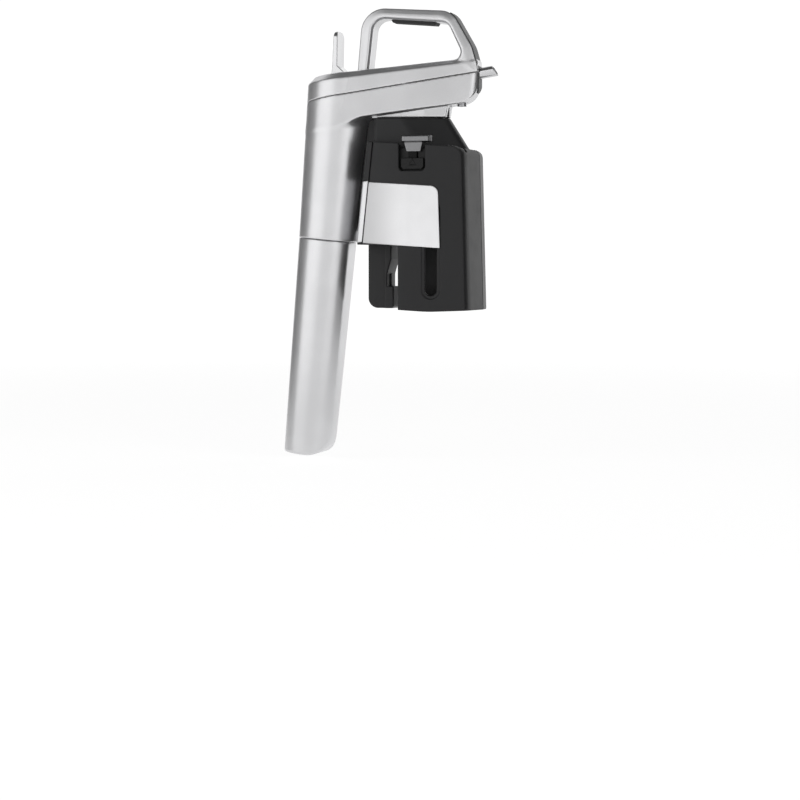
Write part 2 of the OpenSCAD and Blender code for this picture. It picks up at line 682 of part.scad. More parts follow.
module base_core() color("#303030") difference() {
    union() {
        // head with a slanted narrow front
        intersection() {
            translate([0, 0, floor_z]) linear_extrude(height = 40)
                polygon([[head_rear, core_half_w - 2], [head_rear + 1.8, core_half_w], [-4, core_half_w], [6, 10.4],
                         [14.6, 3.3], [14.6, -3.3], [6, -10.4], [-4, -core_half_w], [head_rear + 1.8, -core_half_w],
                         [head_rear, 2 - core_half_w]]);
            slab(60) polygon([[-50, 0], [-50, base_top], [head_top_front, base_top], [head_low_front, 4.9], [14.4, 3.6], [14.4, 0]]);
            // rounded nose that leans back like the front
            translate([head_low_front, 0, 4.9]) rotate([0, -head_lean, 0]) linear_extrude(height = 80, center = true)
                polygon(concat([[-60, -50], [-20, -15.5]], arc(-head_nose_r, 0, head_nose_r, -58, 58, 14), [[-20, 15.5], [-60, 50]]));
        }
        for (side = ["left", "right"]) on_side(side) {
            // rear block
            intersection() {
                translate([0, 0, core_low]) linear_extrude(height = 60) side_plan(core_inset, -18.6);
                slab(80) polygon([[back_x(core_low) + 1, core_low], [-18.6, core_low], [-18.6, arm_top_z(-18.6) - 1],
                                  [back_x(7) + 1, arm_top_z(-34) - 1]]);
            }
            // full width at the very back
            intersection() {
                translate([0, 0, core_low]) linear_extrude(height = 60) side_plan(0, 0);
                slab(80) polygon([[back_x(core_low), core_low], [back_x(core_low) + back_t, core_low],
                                  [back_x(7) + back_t, arm_top_z(-34) - 0.4], [back_x(7), arm_top_z(-34)]]);
            }
            // cheek that carries the release slide
            translate([-19, pivot[0] - 0.9, -8]) cube([19 + cheek_front, clamp_half_w - core_inset - pivot[0] + 0.9, 12.6]);
            translate([-19, 10, floor_z]) cube([19 + cheek_front, clamp_half_w - core_inset - 10, 4]);
            for (e = concat(rear_ears, front_ears)) {
                rod_x(e[0], pivot[0], pivot[1], knuckle_r, e[1] - e[0]);
                translate([e[0], 6, floor_z]) cube([e[1] - e[0], pivot[0] - 6, pivot[1] + 1 - floor_z]);
            }
        }
    }
    // rail channel, with the slot for the web
    translate([flange_rear - rail_gap, -channel_half, core_low - 1]) cube([channel_front - flange_rear + rail_gap, 2 * channel_half, 80]);
    translate([-60, -web_w / 2 - rail_gap, core_low - 1]) cube([40, web_w + 2 * rail_gap, 80]);
    for (m = [0, 1]) mirror([0, m, 0]) translate([flange_rear + 0.2, channel_half - 0.1, -40]) cube([3.4, 1.3, 56]);
    cylinder(r = guide_r + 0.05, h = 60, center = true);
    translate([0, 0, floor_z - 1]) cylinder(r = pad_r + 0.1, h = 1 + pad_t);
    for (side = ["left", "right"]) on_side(side) {
        rod_x(-31, pivot[0], pivot[1], hinge_pin_r, 43);
        rod_x(-20.7, pivot[0], pivot[1], 2.5, 2.3);
        for (k = [rear_knuckle, front_knuckle]) rod_x(k[0] - 0.25, pivot[0], pivot[1], knuckle_r + 0.5, k[1] - k[0] + 0.5);
        // way for the slide's lug and its spring
        translate([button_x - 1.9, pivot[0] - 2, -4.4]) cube([3.8, 4, 10.2]);
    }
    for (x = base_screw_x) translate([x, 0, base_top - 5]) cylinder(r = 1.2, h = 6);
    trim_form();
    // jaws and neck stay clear below the seat
    translate([0, 0, -60]) cylinder(r = neck_r + 1.2, h = 60);
}
base_screw_x = [-16, -8];
guide_r = 2.5;
pad_r = 13.6;
pad_t = 2;
button_x = -10.6;

module mouth_pad() color("dimgray") difference() {
    cylinder(r = pad_r, h = floor_z + pad_t);
    translate([0, 0, -1]) cylinder(r = guide_r + 0.6, h = 10);
}
module needle_guide() color("silver") difference() {
    translate([0, 0, floor_z]) cylinder(r = guide_r, h = base_top - floor_z - 0.1);
    translate([0, 0, -1]) cylinder(r = needle_d / 2 + 0.08, h = 40);
    translate([0, 0, floor_z - 0.01]) cylinder(r1 = guide_r - 0.6, r2 = needle_d / 2 + 0.08, h = 3);
}
module base_screws() color("silver") for (x = base_screw_x) translate([x, 0, base_top - 4.6]) cylinder(r = 1.15, h = 4.5);
module rail_liners() color("white") for (m = [0, 1]) mirror([0, m, 0])
    translate([flange_rear + 0.25, channel_half, -39.9]) cube([3.3, 1.15, 55.8]);

// A band of the back's side outline, from its rear line to d in front of it
module back_band(d, low = -41.7, high = -11.6) {
    slab(80) polygon([[back_x(high) - 9, high], [back_x(high) + d, high - 0.1 * d], [back_x(low) + d, low - 0.1 * d], [back_x(low) - 9, low]]);
}

// Corner strips at the back: a flange on each side and one across the back, open for the rail's web
module trim_form() {
    for (side = ["left", "right"]) on_side(side) difference() {
        intersection() {
            translate([0, 0, -60]) linear_extrude(height = 60) side_plan(-trim_t, 0);
            intersection() {
                back_band(back_t);
                slab(80) polygon([[back_x(0), 0], [0, 0], [0, -60], [back_x(-60), -60]]);
            }
        }
        translate([0, 0, -61]) linear_extrude(height = 70) intersection() {
            side_plan(0, 0);
            translate([-60, 0]) square([60, 60]);
        }
        translate([-70, -1, -70]) cube([140, web_w / 2 + 3, 140]);
    }
    for (side = ["left", "right"]) on_side(side) difference() {
        intersection() {
            translate([0, 0, -60]) linear_extrude(height = 60) side_plan(-0.01, 0);
            back_band(0.9);
            slab(80) polygon([[back_x(0), 0], [0, 0], [0, -60], [back_x(-60), -60]]);
        }
        translate([-70, -1, -70]) cube([140, web_w / 2 + 3, 140]);
    }
}
module rear_trim() color("silver") trim_form();

module hinge_pins(side) {
    on_side(side) for (p = [[-30, -18.8], [-2.6, 9.4]]) rod_x(p[0], pivot[0], pivot[1], hinge_pin_r, p[1] - p[0]);
}
module clamp_springs(side) {
    on_side(side) for (x = [-20.6, 7.2]) translate([x, pivot[0], pivot[1]]) rotate([0, 90, 0]) tube(2.2, hinge_pin_r + 0.05, 1.7);
}
module right_hinge_pins() color("silver") hinge_pins("right");
module left_hinge_pins() color("silver") hinge_pins("left");
module right_clamp_springs() color("gray") clamp_springs("right");
module left_clamp_springs() color("gray") clamp_springs("left");

// ---- Clamp arms ----

slot_x = -1;
notch = [-17.3, -3.8];
notch_low = -7;
corner_r = 4.5;
rear_low = -40;

module arm_outline() {
    polygon(concat([[back_x(8.2) + back_t + gap, arm_top_z(back_x(8.2) + back_t)]],
        [[clamp_front + 5, arm_top_z(clamp_front + 5)], [clamp_front + 5, -clamp_reach + 0.7], [-17.8, -clamp_reach - 0.8], [-17.8, rear_low],
         [back_x(rear_low - 2) + back_t + gap, rear_low - 2]]));
}

// Everything behind an arm's front slope, with its upper and lower edge rounded
module arm_front() {
    low = [clamp_reach * sin(arm_tilt) + 0.15, -clamp_reach + 0.5];
    translate([clamp_front, 0, 0]) rotate([0, 0, atan((3.6 - 0.9) / (clamp_half_w - 3))]) slab(120) polygon(concat(
        [[-80, -clamp_reach - 10], [-80, arm_top_z(-60)]],
        fillet([-20, arm_top_z(clamp_front - 20) + 0.1], [0.1, arm_top_z(clamp_front) + 0.1], [0.35, -10], corner_r),
        fillet([0.35, -10], low, low - [20, 1.3], 3)));
}

module clamp_arm(side) {
    on_side(side) difference() {
        union() {
            intersection() {
                rotate([0, -arm_tilt, 0]) translate([0, 0, -100]) linear_extrude(height = 120) difference() {
                    arm_plan(0);
                    arm_hollow();
                }
                translate([0, 30 + gap, 0]) slab(60) arm_outline();
                arm_front();
            }
            for (k = [rear_knuckle, front_knuckle]) {
                rod_x(k[0], pivot[0], pivot[1], knuckle_r, k[1] - k[0]);
                intersection() {
                    translate([k[0], pivot[0], pivot[1] - 2]) cube([k[1] - k[0], 10, 4]);
                    translate([0, 0, -20]) linear_extrude(height = 60) side_plan(0.6, 20);
                }
            }
        }
        rod_x(-40, pivot[0], pivot[1], hinge_pin_r + fit, 60);
        for (e = concat(rear_ears, front_ears)) rod_x(e[0] - 0.3, pivot[0], pivot[1], knuckle_r + 0.4, e[1] - e[0] + 0.6);
        // window of the release slide
        translate([notch[0], 0, notch_low]) cube([notch[1] - notch[0], 40, 40]);
        // slot with a shallow recess round it
        hull() for (z = [-26, -68.2 + slot_w / 2]) translate([slot_x, 0, z]) rotate([-90, 0, 0]) cylinder(r = slot_w / 2, h = 60, $fn = mesh_fn);
        hull() for (z = [-26, -68.2 + slot_w / 2]) translate([slot_x, clamp_half_w - 0.55, z]) rotate([-90, 0, 0])
            cylinder(r = slot_w / 2 + 1.6, h = 60, $fn = mesh_fn);
        cylinder(r = neck_r + 0.5, h = 300, center = true);
    }
}
module arm_hollow() {
    offset(delta = -clamp_wall) union() {
        arm_plan(0);
        mirror([0, 1]) arm_plan(0);
        translate([-80, -clamp_half_w]) square([40, 2 * clamp_half_w]);
    }
}
module right_clamp_arm() color("#2c2c2c") clamp_arm("right");
module left_clamp_arm() color("#2c2c2c") clamp_arm("left");

// Bare plate on an arm's outer face
module cover_plate(side) {
    on_side(side) intersection() {
        difference() {
            translate([0, 0, -60]) linear_extrude(height = 60) side_plan(-trim_t, 20);
            translate([0, 0, -61]) linear_extrude(height = 70) side_plan(0, 30);
        }
        slab(80) polygon(concat([[back_x(-11.9) + 3.4, -12.2]],
            fillet([-30, -12.2], [2.8, -14.6], [3.8, -44.8], 4), [[3.8, -44.8], [back_x(-42) + 3.4, -42.2]]));
    }
}
module right_cover_plate() color("whitesmoke") cover_plate("right");
module left_cover_plate() color("whitesmoke") cover_plate("left");

module neck_pad(side) {
    low = -clamp_reach + 0.8;
    on_side(side) difference() {
        intersection() {
            rotate([0, -arm_tilt, 0]) translate([0, 0, -100]) linear_extrude(height = 80) arm_hollow();
            translate([-16.6, 1.4, low]) cube([60, 40, jaw_h]);
        }
        cylinder(r = neck_r, h = 300, center = true);
    }
}
module right_neck_pad() color("black") neck_pad("right");
module left_neck_pad() color("black") neck_pad("left");

// ---- Release slides ----

button_low = -6.2;
button_top = -0.7;
spine_y = clamp_half_w - core_inset + 0.25;

module release_button(side) {
    on_side(side) {
        translate([button_x - button_w / 2, spine_y + 0.85, button_low]) cube([button_w, 1.4, button_top - button_low]);
        // raised outline of a triangle
        translate([button_x, spine_y + 2.2, -3.4]) rotate([-90, 0, 0]) difference() {
            cylinder(r = 1.9, h = 0.3, $fn = 3);
            translate([0, 0, -1]) cylinder(r = 1.3, h = 3, $fn = 3);
        }
    }
}
module right_release_button() color("#222222") release_button("right");
module left_release_button() color("#222222") release_button("left");

module latch_tab(side) {
    on_side(side) {
        translate([button_x - 2, spine_y, -5.6]) cube([4, 0.85, 9]);
        translate([button_x - 1.5, pivot[0] - 1.4, -4]) cube([3, spine_y - pivot[0] + 1.5, 4]);
        // stem with a slanted rear edge
        translate([0, spine_y + 1.3, 0]) slab(2.6) polygon([[-13.6, 2.4], [-4.8, 2.4], [-4.8, 8], [-15, 8]]);
        // bar with bevelled ends that stands over the arm's edge
        hull() {
            translate([-16, spine_y, 6.9]) cube([15.2, 2.6, 3.4]);
            translate([-15, spine_y, 7.4]) cube([13.2, 5.2, 2.4]);
        }
    }
}
module right_latch_tab() color("silver") latch_tab("right");
module left_latch_tab() color("silver") latch_tab("left");

module release_spring(side) {
    on_side(side) translate([button_x, pivot[0] - 0.3, 0.1]) tube(1.3, 0.9, 5.6);
}
module right_release_spring() color("gray") release_spring("right");
module left_release_spring() color("gray") release_spring("left");

base_core();
mouth_pad();
needle_guide();
rail_liners();
rear_trim();
base_screws();
right_hinge_pins();
left_hinge_pins();
right_clamp_springs();
left_clamp_springs();
right_clamp_arm();
right_cover_plate();
right_neck_pad();
left_clamp_arm();
left_cover_plate();
left_neck_pad();
right_release_button();
right_latch_tab();
right_release_spring();
left_release_button();
left_latch_tab();
left_release_spring();
body_shell();
top_cover();
grip_pad();
upper_front_strip();
lower_front_strip();
spout();
spout_seal();
needle();
needle_hub();
needle_seal();
rail();
rail_catch();
rail_screws();
valve_body();
gas_tube();
regulator_body();
regulator_piston();
regulator_spring();
pierce_pin();
capsule_seal();
trigger_pin();
cover_screws();
nose_screw();
trigger();
valve_plunger();
plunger_seal();
valve_spring();
gas_capsule();
capsule_cup();
cup_seal();
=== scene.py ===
"""Looks of a wine preservation dispenser: a body with a loop handle, a leaning capsule arm, a trigger
and a spout, riding on a rail over a black base that clamps a bottle's neck.

The large forms are written as signed distances and meshed on a grid, so that their edges are rounded and
their joints are filleted. Sizes are in millimetres in the classes and in metres in the finished meshes.
"""

import json
import logging
import math
from dataclasses import dataclass, field, fields
from enum import Enum
from typing import Callable, Iterable, Optional, Sequence, Union

import bmesh
import bpy
import numpy as np
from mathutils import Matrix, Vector

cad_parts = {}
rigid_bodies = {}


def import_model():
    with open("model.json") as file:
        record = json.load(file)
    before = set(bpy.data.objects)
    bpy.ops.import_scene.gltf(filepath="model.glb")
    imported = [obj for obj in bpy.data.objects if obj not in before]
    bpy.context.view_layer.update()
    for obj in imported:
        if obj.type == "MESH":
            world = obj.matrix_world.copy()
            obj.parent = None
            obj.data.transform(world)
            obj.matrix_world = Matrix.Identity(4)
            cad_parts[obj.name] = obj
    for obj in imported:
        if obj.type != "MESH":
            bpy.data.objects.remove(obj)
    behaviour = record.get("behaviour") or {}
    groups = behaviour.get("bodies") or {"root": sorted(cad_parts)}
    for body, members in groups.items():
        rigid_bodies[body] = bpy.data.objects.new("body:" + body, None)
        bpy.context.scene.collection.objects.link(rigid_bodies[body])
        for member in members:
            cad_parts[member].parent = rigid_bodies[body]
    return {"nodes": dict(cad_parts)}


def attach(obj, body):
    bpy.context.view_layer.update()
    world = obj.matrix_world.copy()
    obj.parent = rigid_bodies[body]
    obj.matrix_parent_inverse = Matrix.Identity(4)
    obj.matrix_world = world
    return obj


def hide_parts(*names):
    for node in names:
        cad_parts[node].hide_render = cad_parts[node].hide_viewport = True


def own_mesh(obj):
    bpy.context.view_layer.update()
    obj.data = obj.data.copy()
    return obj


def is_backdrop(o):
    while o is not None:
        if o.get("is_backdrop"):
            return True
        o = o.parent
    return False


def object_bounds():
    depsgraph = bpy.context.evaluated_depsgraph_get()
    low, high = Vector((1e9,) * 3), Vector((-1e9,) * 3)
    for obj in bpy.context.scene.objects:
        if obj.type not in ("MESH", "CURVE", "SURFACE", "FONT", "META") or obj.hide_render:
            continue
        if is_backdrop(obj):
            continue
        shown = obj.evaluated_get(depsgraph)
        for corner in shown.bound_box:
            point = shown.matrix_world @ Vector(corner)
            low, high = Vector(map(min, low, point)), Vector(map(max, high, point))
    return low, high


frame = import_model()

Array = np.ndarray
Pair = tuple[float, float]
Triple = tuple[float, float, float]
Number = Union[float, "Sock"]

LOG = logging.getLogger("dispenser")
MM = 0.001
CAD_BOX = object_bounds()


# --------------------------------------------------------------------------------------------------
# Signed distances
# --------------------------------------------------------------------------------------------------


@dataclass(frozen=True)
class Solid:
    """A solid given by its signed distance in millimetres, negative inside."""

    fn: Callable[[Array, Array, Array], Array]

    def __call__(self, x: Array, y: Array, z: Array) -> Array:
        """The distance at points x, y, z."""
        return self.fn(x, y, z)

    def __or__(self, other: "Solid") -> "Solid":
        """Both solids together."""
        return Solid(lambda x, y, z: np.minimum(self(x, y, z), other(x, y, z)))

    def __and__(self, other: "Solid") -> "Solid":
        """What the two solids share."""
        return Solid(lambda x, y, z: np.maximum(self(x, y, z), other(x, y, z)))

    def __sub__(self, other: "Solid") -> "Solid":
        """This solid without the other."""
        return Solid(lambda x, y, z: np.maximum(self(x, y, z), -other(x, y, z)))

    def grown(self, by: float) -> "Solid":
        """The solid with its skin moved out by that much."""
        return Solid(lambda x, y, z: self(x, y, z) - by)

    def filleted_or(self, other: "Solid", radius: float) -> "Solid":
        """Both solids, with a fillet of about that radius where they meet."""

        def fn(x: Array, y: Array, z: Array) -> Array:
            return soft_min(self(x, y, z), other(x, y, z), radius)

        return Solid(fn)

    def rounded_and(self, other: "Solid", radius: float) -> "Solid":
        """What the two solids share, with its edge rounded."""

        def fn(x: Array, y: Array, z: Array) -> Array:
            return round_max(self(x, y, z), other(x, y, z), radius)

        return Solid(fn)

    def rounded_cut(self, other: "Solid", radius: float) -> "Solid":
        """This solid without the other, with the cut's edge rounded."""

        def fn(x: Array, y: Array, z: Array) -> Array:
            return round_max(self(x, y, z), -other(x, y, z), radius)

        return Solid(fn)

    def mirrored(self) -> "Solid":
        """The solid mirrored to the other side of the middle plane."""
        return Solid(lambda x, y, z: self(x, -y, z))


def round_max(a: Array, b: Array, radius: float) -> Array:
    """The larger of two distances, with a rounded outer edge.

    Args:
        a: First distance.
        b: Second distance.
        radius: Radius of the edge in millimetres.

    Returns:
        The rounded distance.
    """
    if radius <= 0:
        return np.maximum(a, b)
    p, q = np.maximum(a + radius, 0), np.maximum(b + radius, 0)
    return np.minimum(np.maximum(a, b), -radius) + np.sqrt(p * p + q * q)


def soft_min(a: Array, b: Array, radius: float) -> Array:
    """The smaller of two distances, with a filleted inner edge."""
    return -round_max(-a, -b, radius)


def half_space(nx: float, nz: float, offset: float) -> Solid:
    """Everything on the inner side of a plane across the middle plane, nx * x + nz * z = offset."""
    size = math.hypot(nx, nz)
    return Solid(lambda x, y, z: (nx * x + nz * z - offset) / size)


def box(lo: Triple, hi: Triple, radius: float = 0.0) -> Solid:
    """A block between two corners, with rounded edges.

    Args:
        lo: Lowest corner.
        hi: Highest corner.
        radius: Radius of the edges.

    Returns:
        The block.
    """
    c = [(a + b) / 2 for a, b in zip(lo, hi)]
    h = [(b - a) / 2 - radius for a, b in zip(lo, hi)]

    def fn(x: Array, y: Array, z: Array) -> Array:
        q = [np.abs(v - c[i]) - h[i] for i, v in enumerate((x, y, z))]
        out = np.sqrt(sum(np.maximum(v, 0) ** 2 for v in q))
        return out + np.minimum(np.maximum(np.maximum(q[0], q[1]), q[2]), 0) - radius

    return Solid(fn)


def polygon_distance(u: Array, v: Array, points: Sequence[Pair]) -> Array:
    """Signed distance from points u, v to a closed outline.

    Args:
        u: First coordinates.
        v: Second coordinates.
        points: The outline's corners.

    Returns:
        The distance, negative inside.
    """
    u, v = np.broadcast_arrays(u, v)
    best = np.full(u.shape, 1e9)
    inside = np.zeros(u.shape, bool)
    for (ax, ay), (bx, by) in zip(points, list(points[1:]) + [points[0]]):
        ex, ey = bx - ax, by - ay
        wx, wy = u - ax, v - ay
        t = np.clip((wx * ex + wy * ey) / max(ex * ex + ey * ey, 1e-12), 0, 1)
        best = np.minimum(best, (wx - ex * t) ** 2 + (wy - ey * t) ** 2)
        if ay != by:
            cross = (ay > v) != (by > v)
            inside ^= cross & (u < (bx - ax) * (v - ay) / (by - ay) + ax)
    best = np.sqrt(best)
    return np.where(inside, -best, best)


def side_shape(points: Sequence[Pair]) -> Solid:
    """An endless bar across the middle plane, with that outline in X and Z."""
    return Solid(lambda x, y, z: polygon_distance(x, z, points))


def plan_shape(points: Sequence[Pair]) -> Solid:
    """An endless upright bar, with that outline in X and Y."""
    return Solid(lambda x, y, z: polygon_distance(x, y, points))


def band(axis: int, low: float, high: float) -> Solid:
    """Everything between two planes across one axis."""
    mid, half = (low + high) / 2, (high - low) / 2
    return Solid(lambda x, y, z: np.abs((x, y, z)[axis] - mid) - half)


def rod(axis: int, centre: Triple, radius: float, low: float, high: float, edge: float = 0.15) -> Solid:
    """A round rod along an axis.

    Args:
        axis: 0, 1 or 2 for X, Y or Z.
        centre: A point on its axis.
        radius: Its radius.
        low: Where it starts along the axis.
        high: Where it ends.
        edge: Radius of its end edges.

    Returns:
        The rod.
    """
    others = [i for i in range(3) if i != axis]

    def fn(x: Array, y: Array, z: Array) -> Array:
        p = (x, y, z)
        r = np.hypot(p[others[0]] - centre[others[0]], p[others[1]] - centre[others[1]]) - radius
        return round_max(r, np.abs(p[axis] - (low + high) / 2) - (high - low) / 2, edge)

    return Solid(fn)


def unit(v: Pair) -> Pair:
    """A direction of length one."""
    n = math.hypot(*v)
    return (v[0] / n, v[1] / n)


def fillet(a: Pair, b: Pair, c: Pair, radius: float, n: int = 12) -> list[Pair]:
    """Points of the fillet at corner b between a and c.

    Args:
        a: The corner before.
        b: The corner that is rounded.
        c: The corner after.
        radius: The fillet's radius.
        n: How many steps it has.

    Returns:
        Its points, from a's side to c's.
    """
    u, v = unit((a[0] - b[0], a[1] - b[1])), unit((c[0] - b[0], c[1] - b[1]))
    half = math.acos(max(-1.0, min(1.0, u[0] * v[0] + u[1] * v[1]))) / 2
    w = unit((u[0] + v[0], u[1] + v[1]))
    centre = (b[0] + w[0] * radius / math.sin(half), b[1] + w[1] * radius / math.sin(half))
    t = radius / math.tan(half)
    p = (b[0] + u[0] * t - centre[0], b[1] + u[1] * t - centre[1])
    q = (b[0] + v[0] * t - centre[0], b[1] + v[1] * t - centre[1])
    out = []
    for i in range(n + 1):
        d = unit((p[0] * (n - i) + q[0] * i, p[1] * (n - i) + q[1] * i))
        out.append((centre[0] + d[0] * radius, centre[1] + d[1] * radius))
    return out


def rounded_outline(corners: Sequence[tuple[float, float, float]], n: int = 12) -> list[Pair]:
    """An outline whose corners are given as x, z and fillet radius.

    Args:
        corners: The corners in order.
        n: Steps in each fillet.

    Returns:
        The outline's points.
    """
    out: list[Pair] = []
    for i, (x, z, r) in enumerate(corners):
        a, c = corners[i - 1], corners[(i + 1) % len(corners)]
        out += fillet((a[0], a[1]), (x, z), (c[0], c[1]), r, n) if r > 0 else [(x, z)]
    return out


def arc(centre: Pair, radius: float, degrees: Iterable[float]) -> list[Pair]:
    """Points of an arc.

    Args:
        centre: Its centre.
        radius: Its radius.
        degrees: The points' angles, from the first coordinate's direction.

    Returns:
        Its points.
    """
    angles = [math.radians(a) for a in degrees]
    return [(centre[0] + radius * math.cos(a), centre[1] + radius * math.sin(a)) for a in angles]


def both_sides(points: Sequence[Pair]) -> list[Pair]:
    """A plan's left half and its mirror image."""
    return [*points, *((x, -y) for x, y in points[::-1])]


# --------------------------------------------------------------------------------------------------
# Meshes
# --------------------------------------------------------------------------------------------------


@dataclass(frozen=True)
class Mesher:
    """Turns solids into Blender meshes, on a grid that is finer than their smallest edge."""

    air_below: float = 1.6
    air_above: float = 2.6
    pull_rounds: int = 4
    pull_reach: float = 0.7
    nudge: float = 0.05
    flattest: float = 0.05

    def from_solid(self, name: str, solid: Solid, lo: Triple, hi: Triple, step: float) -> bpy.types.Object:
        """Meshes a solid with one point in each grid cell that its skin crosses.

        Args:
            name: The object's name.
            solid: The solid.
            lo: Lowest corner of the grid in millimetres.
            hi: Highest corner of the grid.
            step: The grid's step.

        Returns:
            The object, in metres.
        """
        h = step
        axes = [np.arange(lo[i] - self.air_below * h, hi[i] + self.air_above * h, h) for i in range(3)]
        gx, gy, gz = axes[0][:, None, None], axes[1][None, :, None], axes[2][None, None, :]
        field = np.broadcast_to(solid(gx, gy, gz), [len(a) for a in axes]).astype(np.float32)
        inside = field < 0
        corners = [(i, j, k) for i in (0, 1) for j in (0, 1) for k in (0, 1)]
        size = [n - 1 for n in field.shape]

        def at(values: Array, c: tuple[int, int, int]) -> Array:
            return values[c[0]:c[0] + size[0], c[1]:c[1] + size[1], c[2]:c[2] + size[2]]

        count = sum(at(inside, c).astype(np.int8) for c in corners)
        cells = np.argwhere((count > 0) & (count < 8))
        index = -np.ones(size, np.int64)
        index[tuple(cells.T)] = np.arange(len(cells))
        total, weight = np.zeros((len(cells), 3)), np.zeros(len(cells))
        for a in corners:
            for axis in range(3):
                if a[axis]:
                    continue
                b = tuple(a[i] + (i == axis) for i in range(3))
                va = field[tuple((cells + a).T)]
                vb = field[tuple((cells + b).T)]
                hit = (va < 0) != (vb < 0)
                t = np.where(hit, va / np.where(hit, va - vb, 1), 0)
                p = np.array(a, float) + np.outer(t, np.eye(3)[axis])
                total[hit] += p[hit]
                weight[hit] += 1
        points = (total / weight[:, None] + cells) * h + [a[0] for a in axes]
        points = self._on_skin(solid, points, h)
        quads = []
        for axis in range(3):
            u, v = (axis + 1) % 3, (axis + 2) % 3
            lo_side = inside[tuple(slice(0, -1) if i == axis else slice(None) for i in range(3))]
            hi_side = inside[tuple(slice(1, None) if i == axis else slice(None) for i in range(3))]
            edges = np.argwhere(lo_side != hi_side)
            edges = edges[(edges[:, u] > 0) & (edges[:, v] > 0)]
            edges = edges[(edges[:, u] < size[u]) & (edges[:, v] < size[v])]
            out = lo_side[tuple(edges.T)]
            ring = []
            for du, dv in ((0, 0), (-1, 0), (-1, -1), (0, -1)):
                cell = edges.copy()
                cell[:, u] += du
                cell[:, v] += dv
                ring.append(index[tuple(cell.T)])
            ring = np.stack(ring, 1)
            quads.append(np.where(out[:, None], ring, ring[:, ::-1]))
        return self.make(name, points * MM, np.concatenate(quads))

    def _on_skin(self, solid: Solid, points: Array, h: float) -> Array:
        """Moves points onto the solid's skin along its gradient.

        Args:
            solid: The solid.
            points: Points near its skin.
            h: The grid's step, which says how far a point may move.

        Returns:
            The moved points.
        """
        start, e = points.copy(), h * self.nudge
        for _ in range(self.pull_rounds):
            x, y, z = points.T
            d = solid(x, y, z)
            g = np.stack([solid(x + e, y, z) - solid(x - e, y, z), solid(x, y + e, z) - solid(x, y - e, z),
                          solid(x, y, z + e) - solid(x, y, z - e)], 1) / (2 * e)
            n2 = np.maximum((g * g).sum(1), self.flattest)
            points = points - g * (d / n2)[:, None]
            points = start + np.clip(points - start, -self.pull_reach * h, self.pull_reach * h)
        return points

    @staticmethod
    def make(name: str, points: Union[Array, Sequence[Triple]],
             faces: Union[Array, Sequence[Sequence[int]]]) -> bpy.types.Object:
        """Makes a smooth mesh object from points in metres.

        Args:
            name: The object's name.
            points: Its points.
            faces: Its faces as point numbers.

        Returns:
            The object, linked to the scene.
        """
        mesh = bpy.data.meshes.new(name)
        mesh.from_pydata([tuple(p) for p in points], [], [tuple(int(i) for i in f) for f in faces])
        mesh.validate()
        mesh.shade_smooth()
        obj = bpy.data.objects.new(name, mesh)
        bpy.context.scene.collection.objects.link(obj)
        return obj

    @staticmethod
    def face_out(obj: bpy.types.Object, merge: float = 1e-6) -> None:
        """Joins points that coincide and turns every face outwards."""
        bm = bmesh.new()
        bm.from_mesh(obj.data)
        bmesh.ops.remove_doubles(bm, verts=bm.verts, dist=merge)
        bmesh.ops.recalc_face_normals(bm, faces=bm.faces)
        bm.to_mesh(obj.data)
        bm.free()
        obj.data.shade_smooth()


# --------------------------------------------------------------------------------------------------
# Finishes
# --------------------------------------------------------------------------------------------------


class Sock:
    """A shader socket that can be reckoned with like a number, a colour or a vector."""

    def __init__(self, tree: "Shader", socket: bpy.types.NodeSocket) -> None:
        """Wraps one output socket."""
        self.tree, self.socket = tree, socket

    def _math(self, op: str, a: Number, b: Number = 0.0) -> "Sock":
        """One Math node."""
        return self.tree.node("ShaderNodeMath", {"operation": op}, {0: a, 1: b})

    def __add__(self, other: Number) -> "Sock":
        """This plus other."""
        return self._math("ADD", self, other)

    def __radd__(self, other: Number) -> "Sock":
        """Other plus this."""
        return self._math("ADD", other, self)

    def __sub__(self, other: Number) -> "Sock":
        """This less other."""
        return self._math("SUBTRACT", self, other)

    def __rsub__(self, other: Number) -> "Sock":
        """Other less this."""
        return self._math("SUBTRACT", other, self)

    def __mul__(self, other: Number) -> "Sock":
        """This times other."""
        return self._math("MULTIPLY", self, other)

    def __rmul__(self, other: Number) -> "Sock":
        """Other times this."""
        return self._math("MULTIPLY", other, self)

    def __lt__(self, other: Number) -> "Sock":
        """1 where this is less than other."""
        return self._math("LESS_THAN", self, other)

    def __gt__(self, other: Number) -> "Sock":
        """1 where this is more than other."""
        return self._math("GREATER_THAN", self, other)

    def ramp(self, low: float, high: float, to_low: float = 0.0, to_high: float = 1.0) -> "Sock":
        """Maps a range smoothly to another, and holds the ends.

        Args:
            low: Where the range starts.
            high: Where it ends.
            to_low: The value at its start.
            to_high: The value at its end.

        Returns:
            The mapped value.
        """
        return self.tree.node("ShaderNodeMapRange", {"interpolation_type": "SMOOTHSTEP"},
                              {0: self, 1: low, 2: high, 3: to_low, 4: to_high})

    def mix(self, a: Union[Triple, "Sock"], b: Union[Triple, "Sock"]) -> "Sock":
        """The colour between a and b, with this as the share of b."""
        return self.tree.node("ShaderNodeMix", {"data_type": "RGBA"}, {0: self, 6: a, 7: b}, 2)

    def stretched(self, by: Triple) -> "Sock":
        """This vector with each part multiplied."""
        return self.tree.node("ShaderNodeVectorMath", {"operation": "MULTIPLY"}, {0: self, 1: by})

    def part(self, axis: int) -> "Sock":
        """The X, Y or Z of this vector."""
        return self.tree.node("ShaderNodeSeparateXYZ", {}, {0: self}, axis)


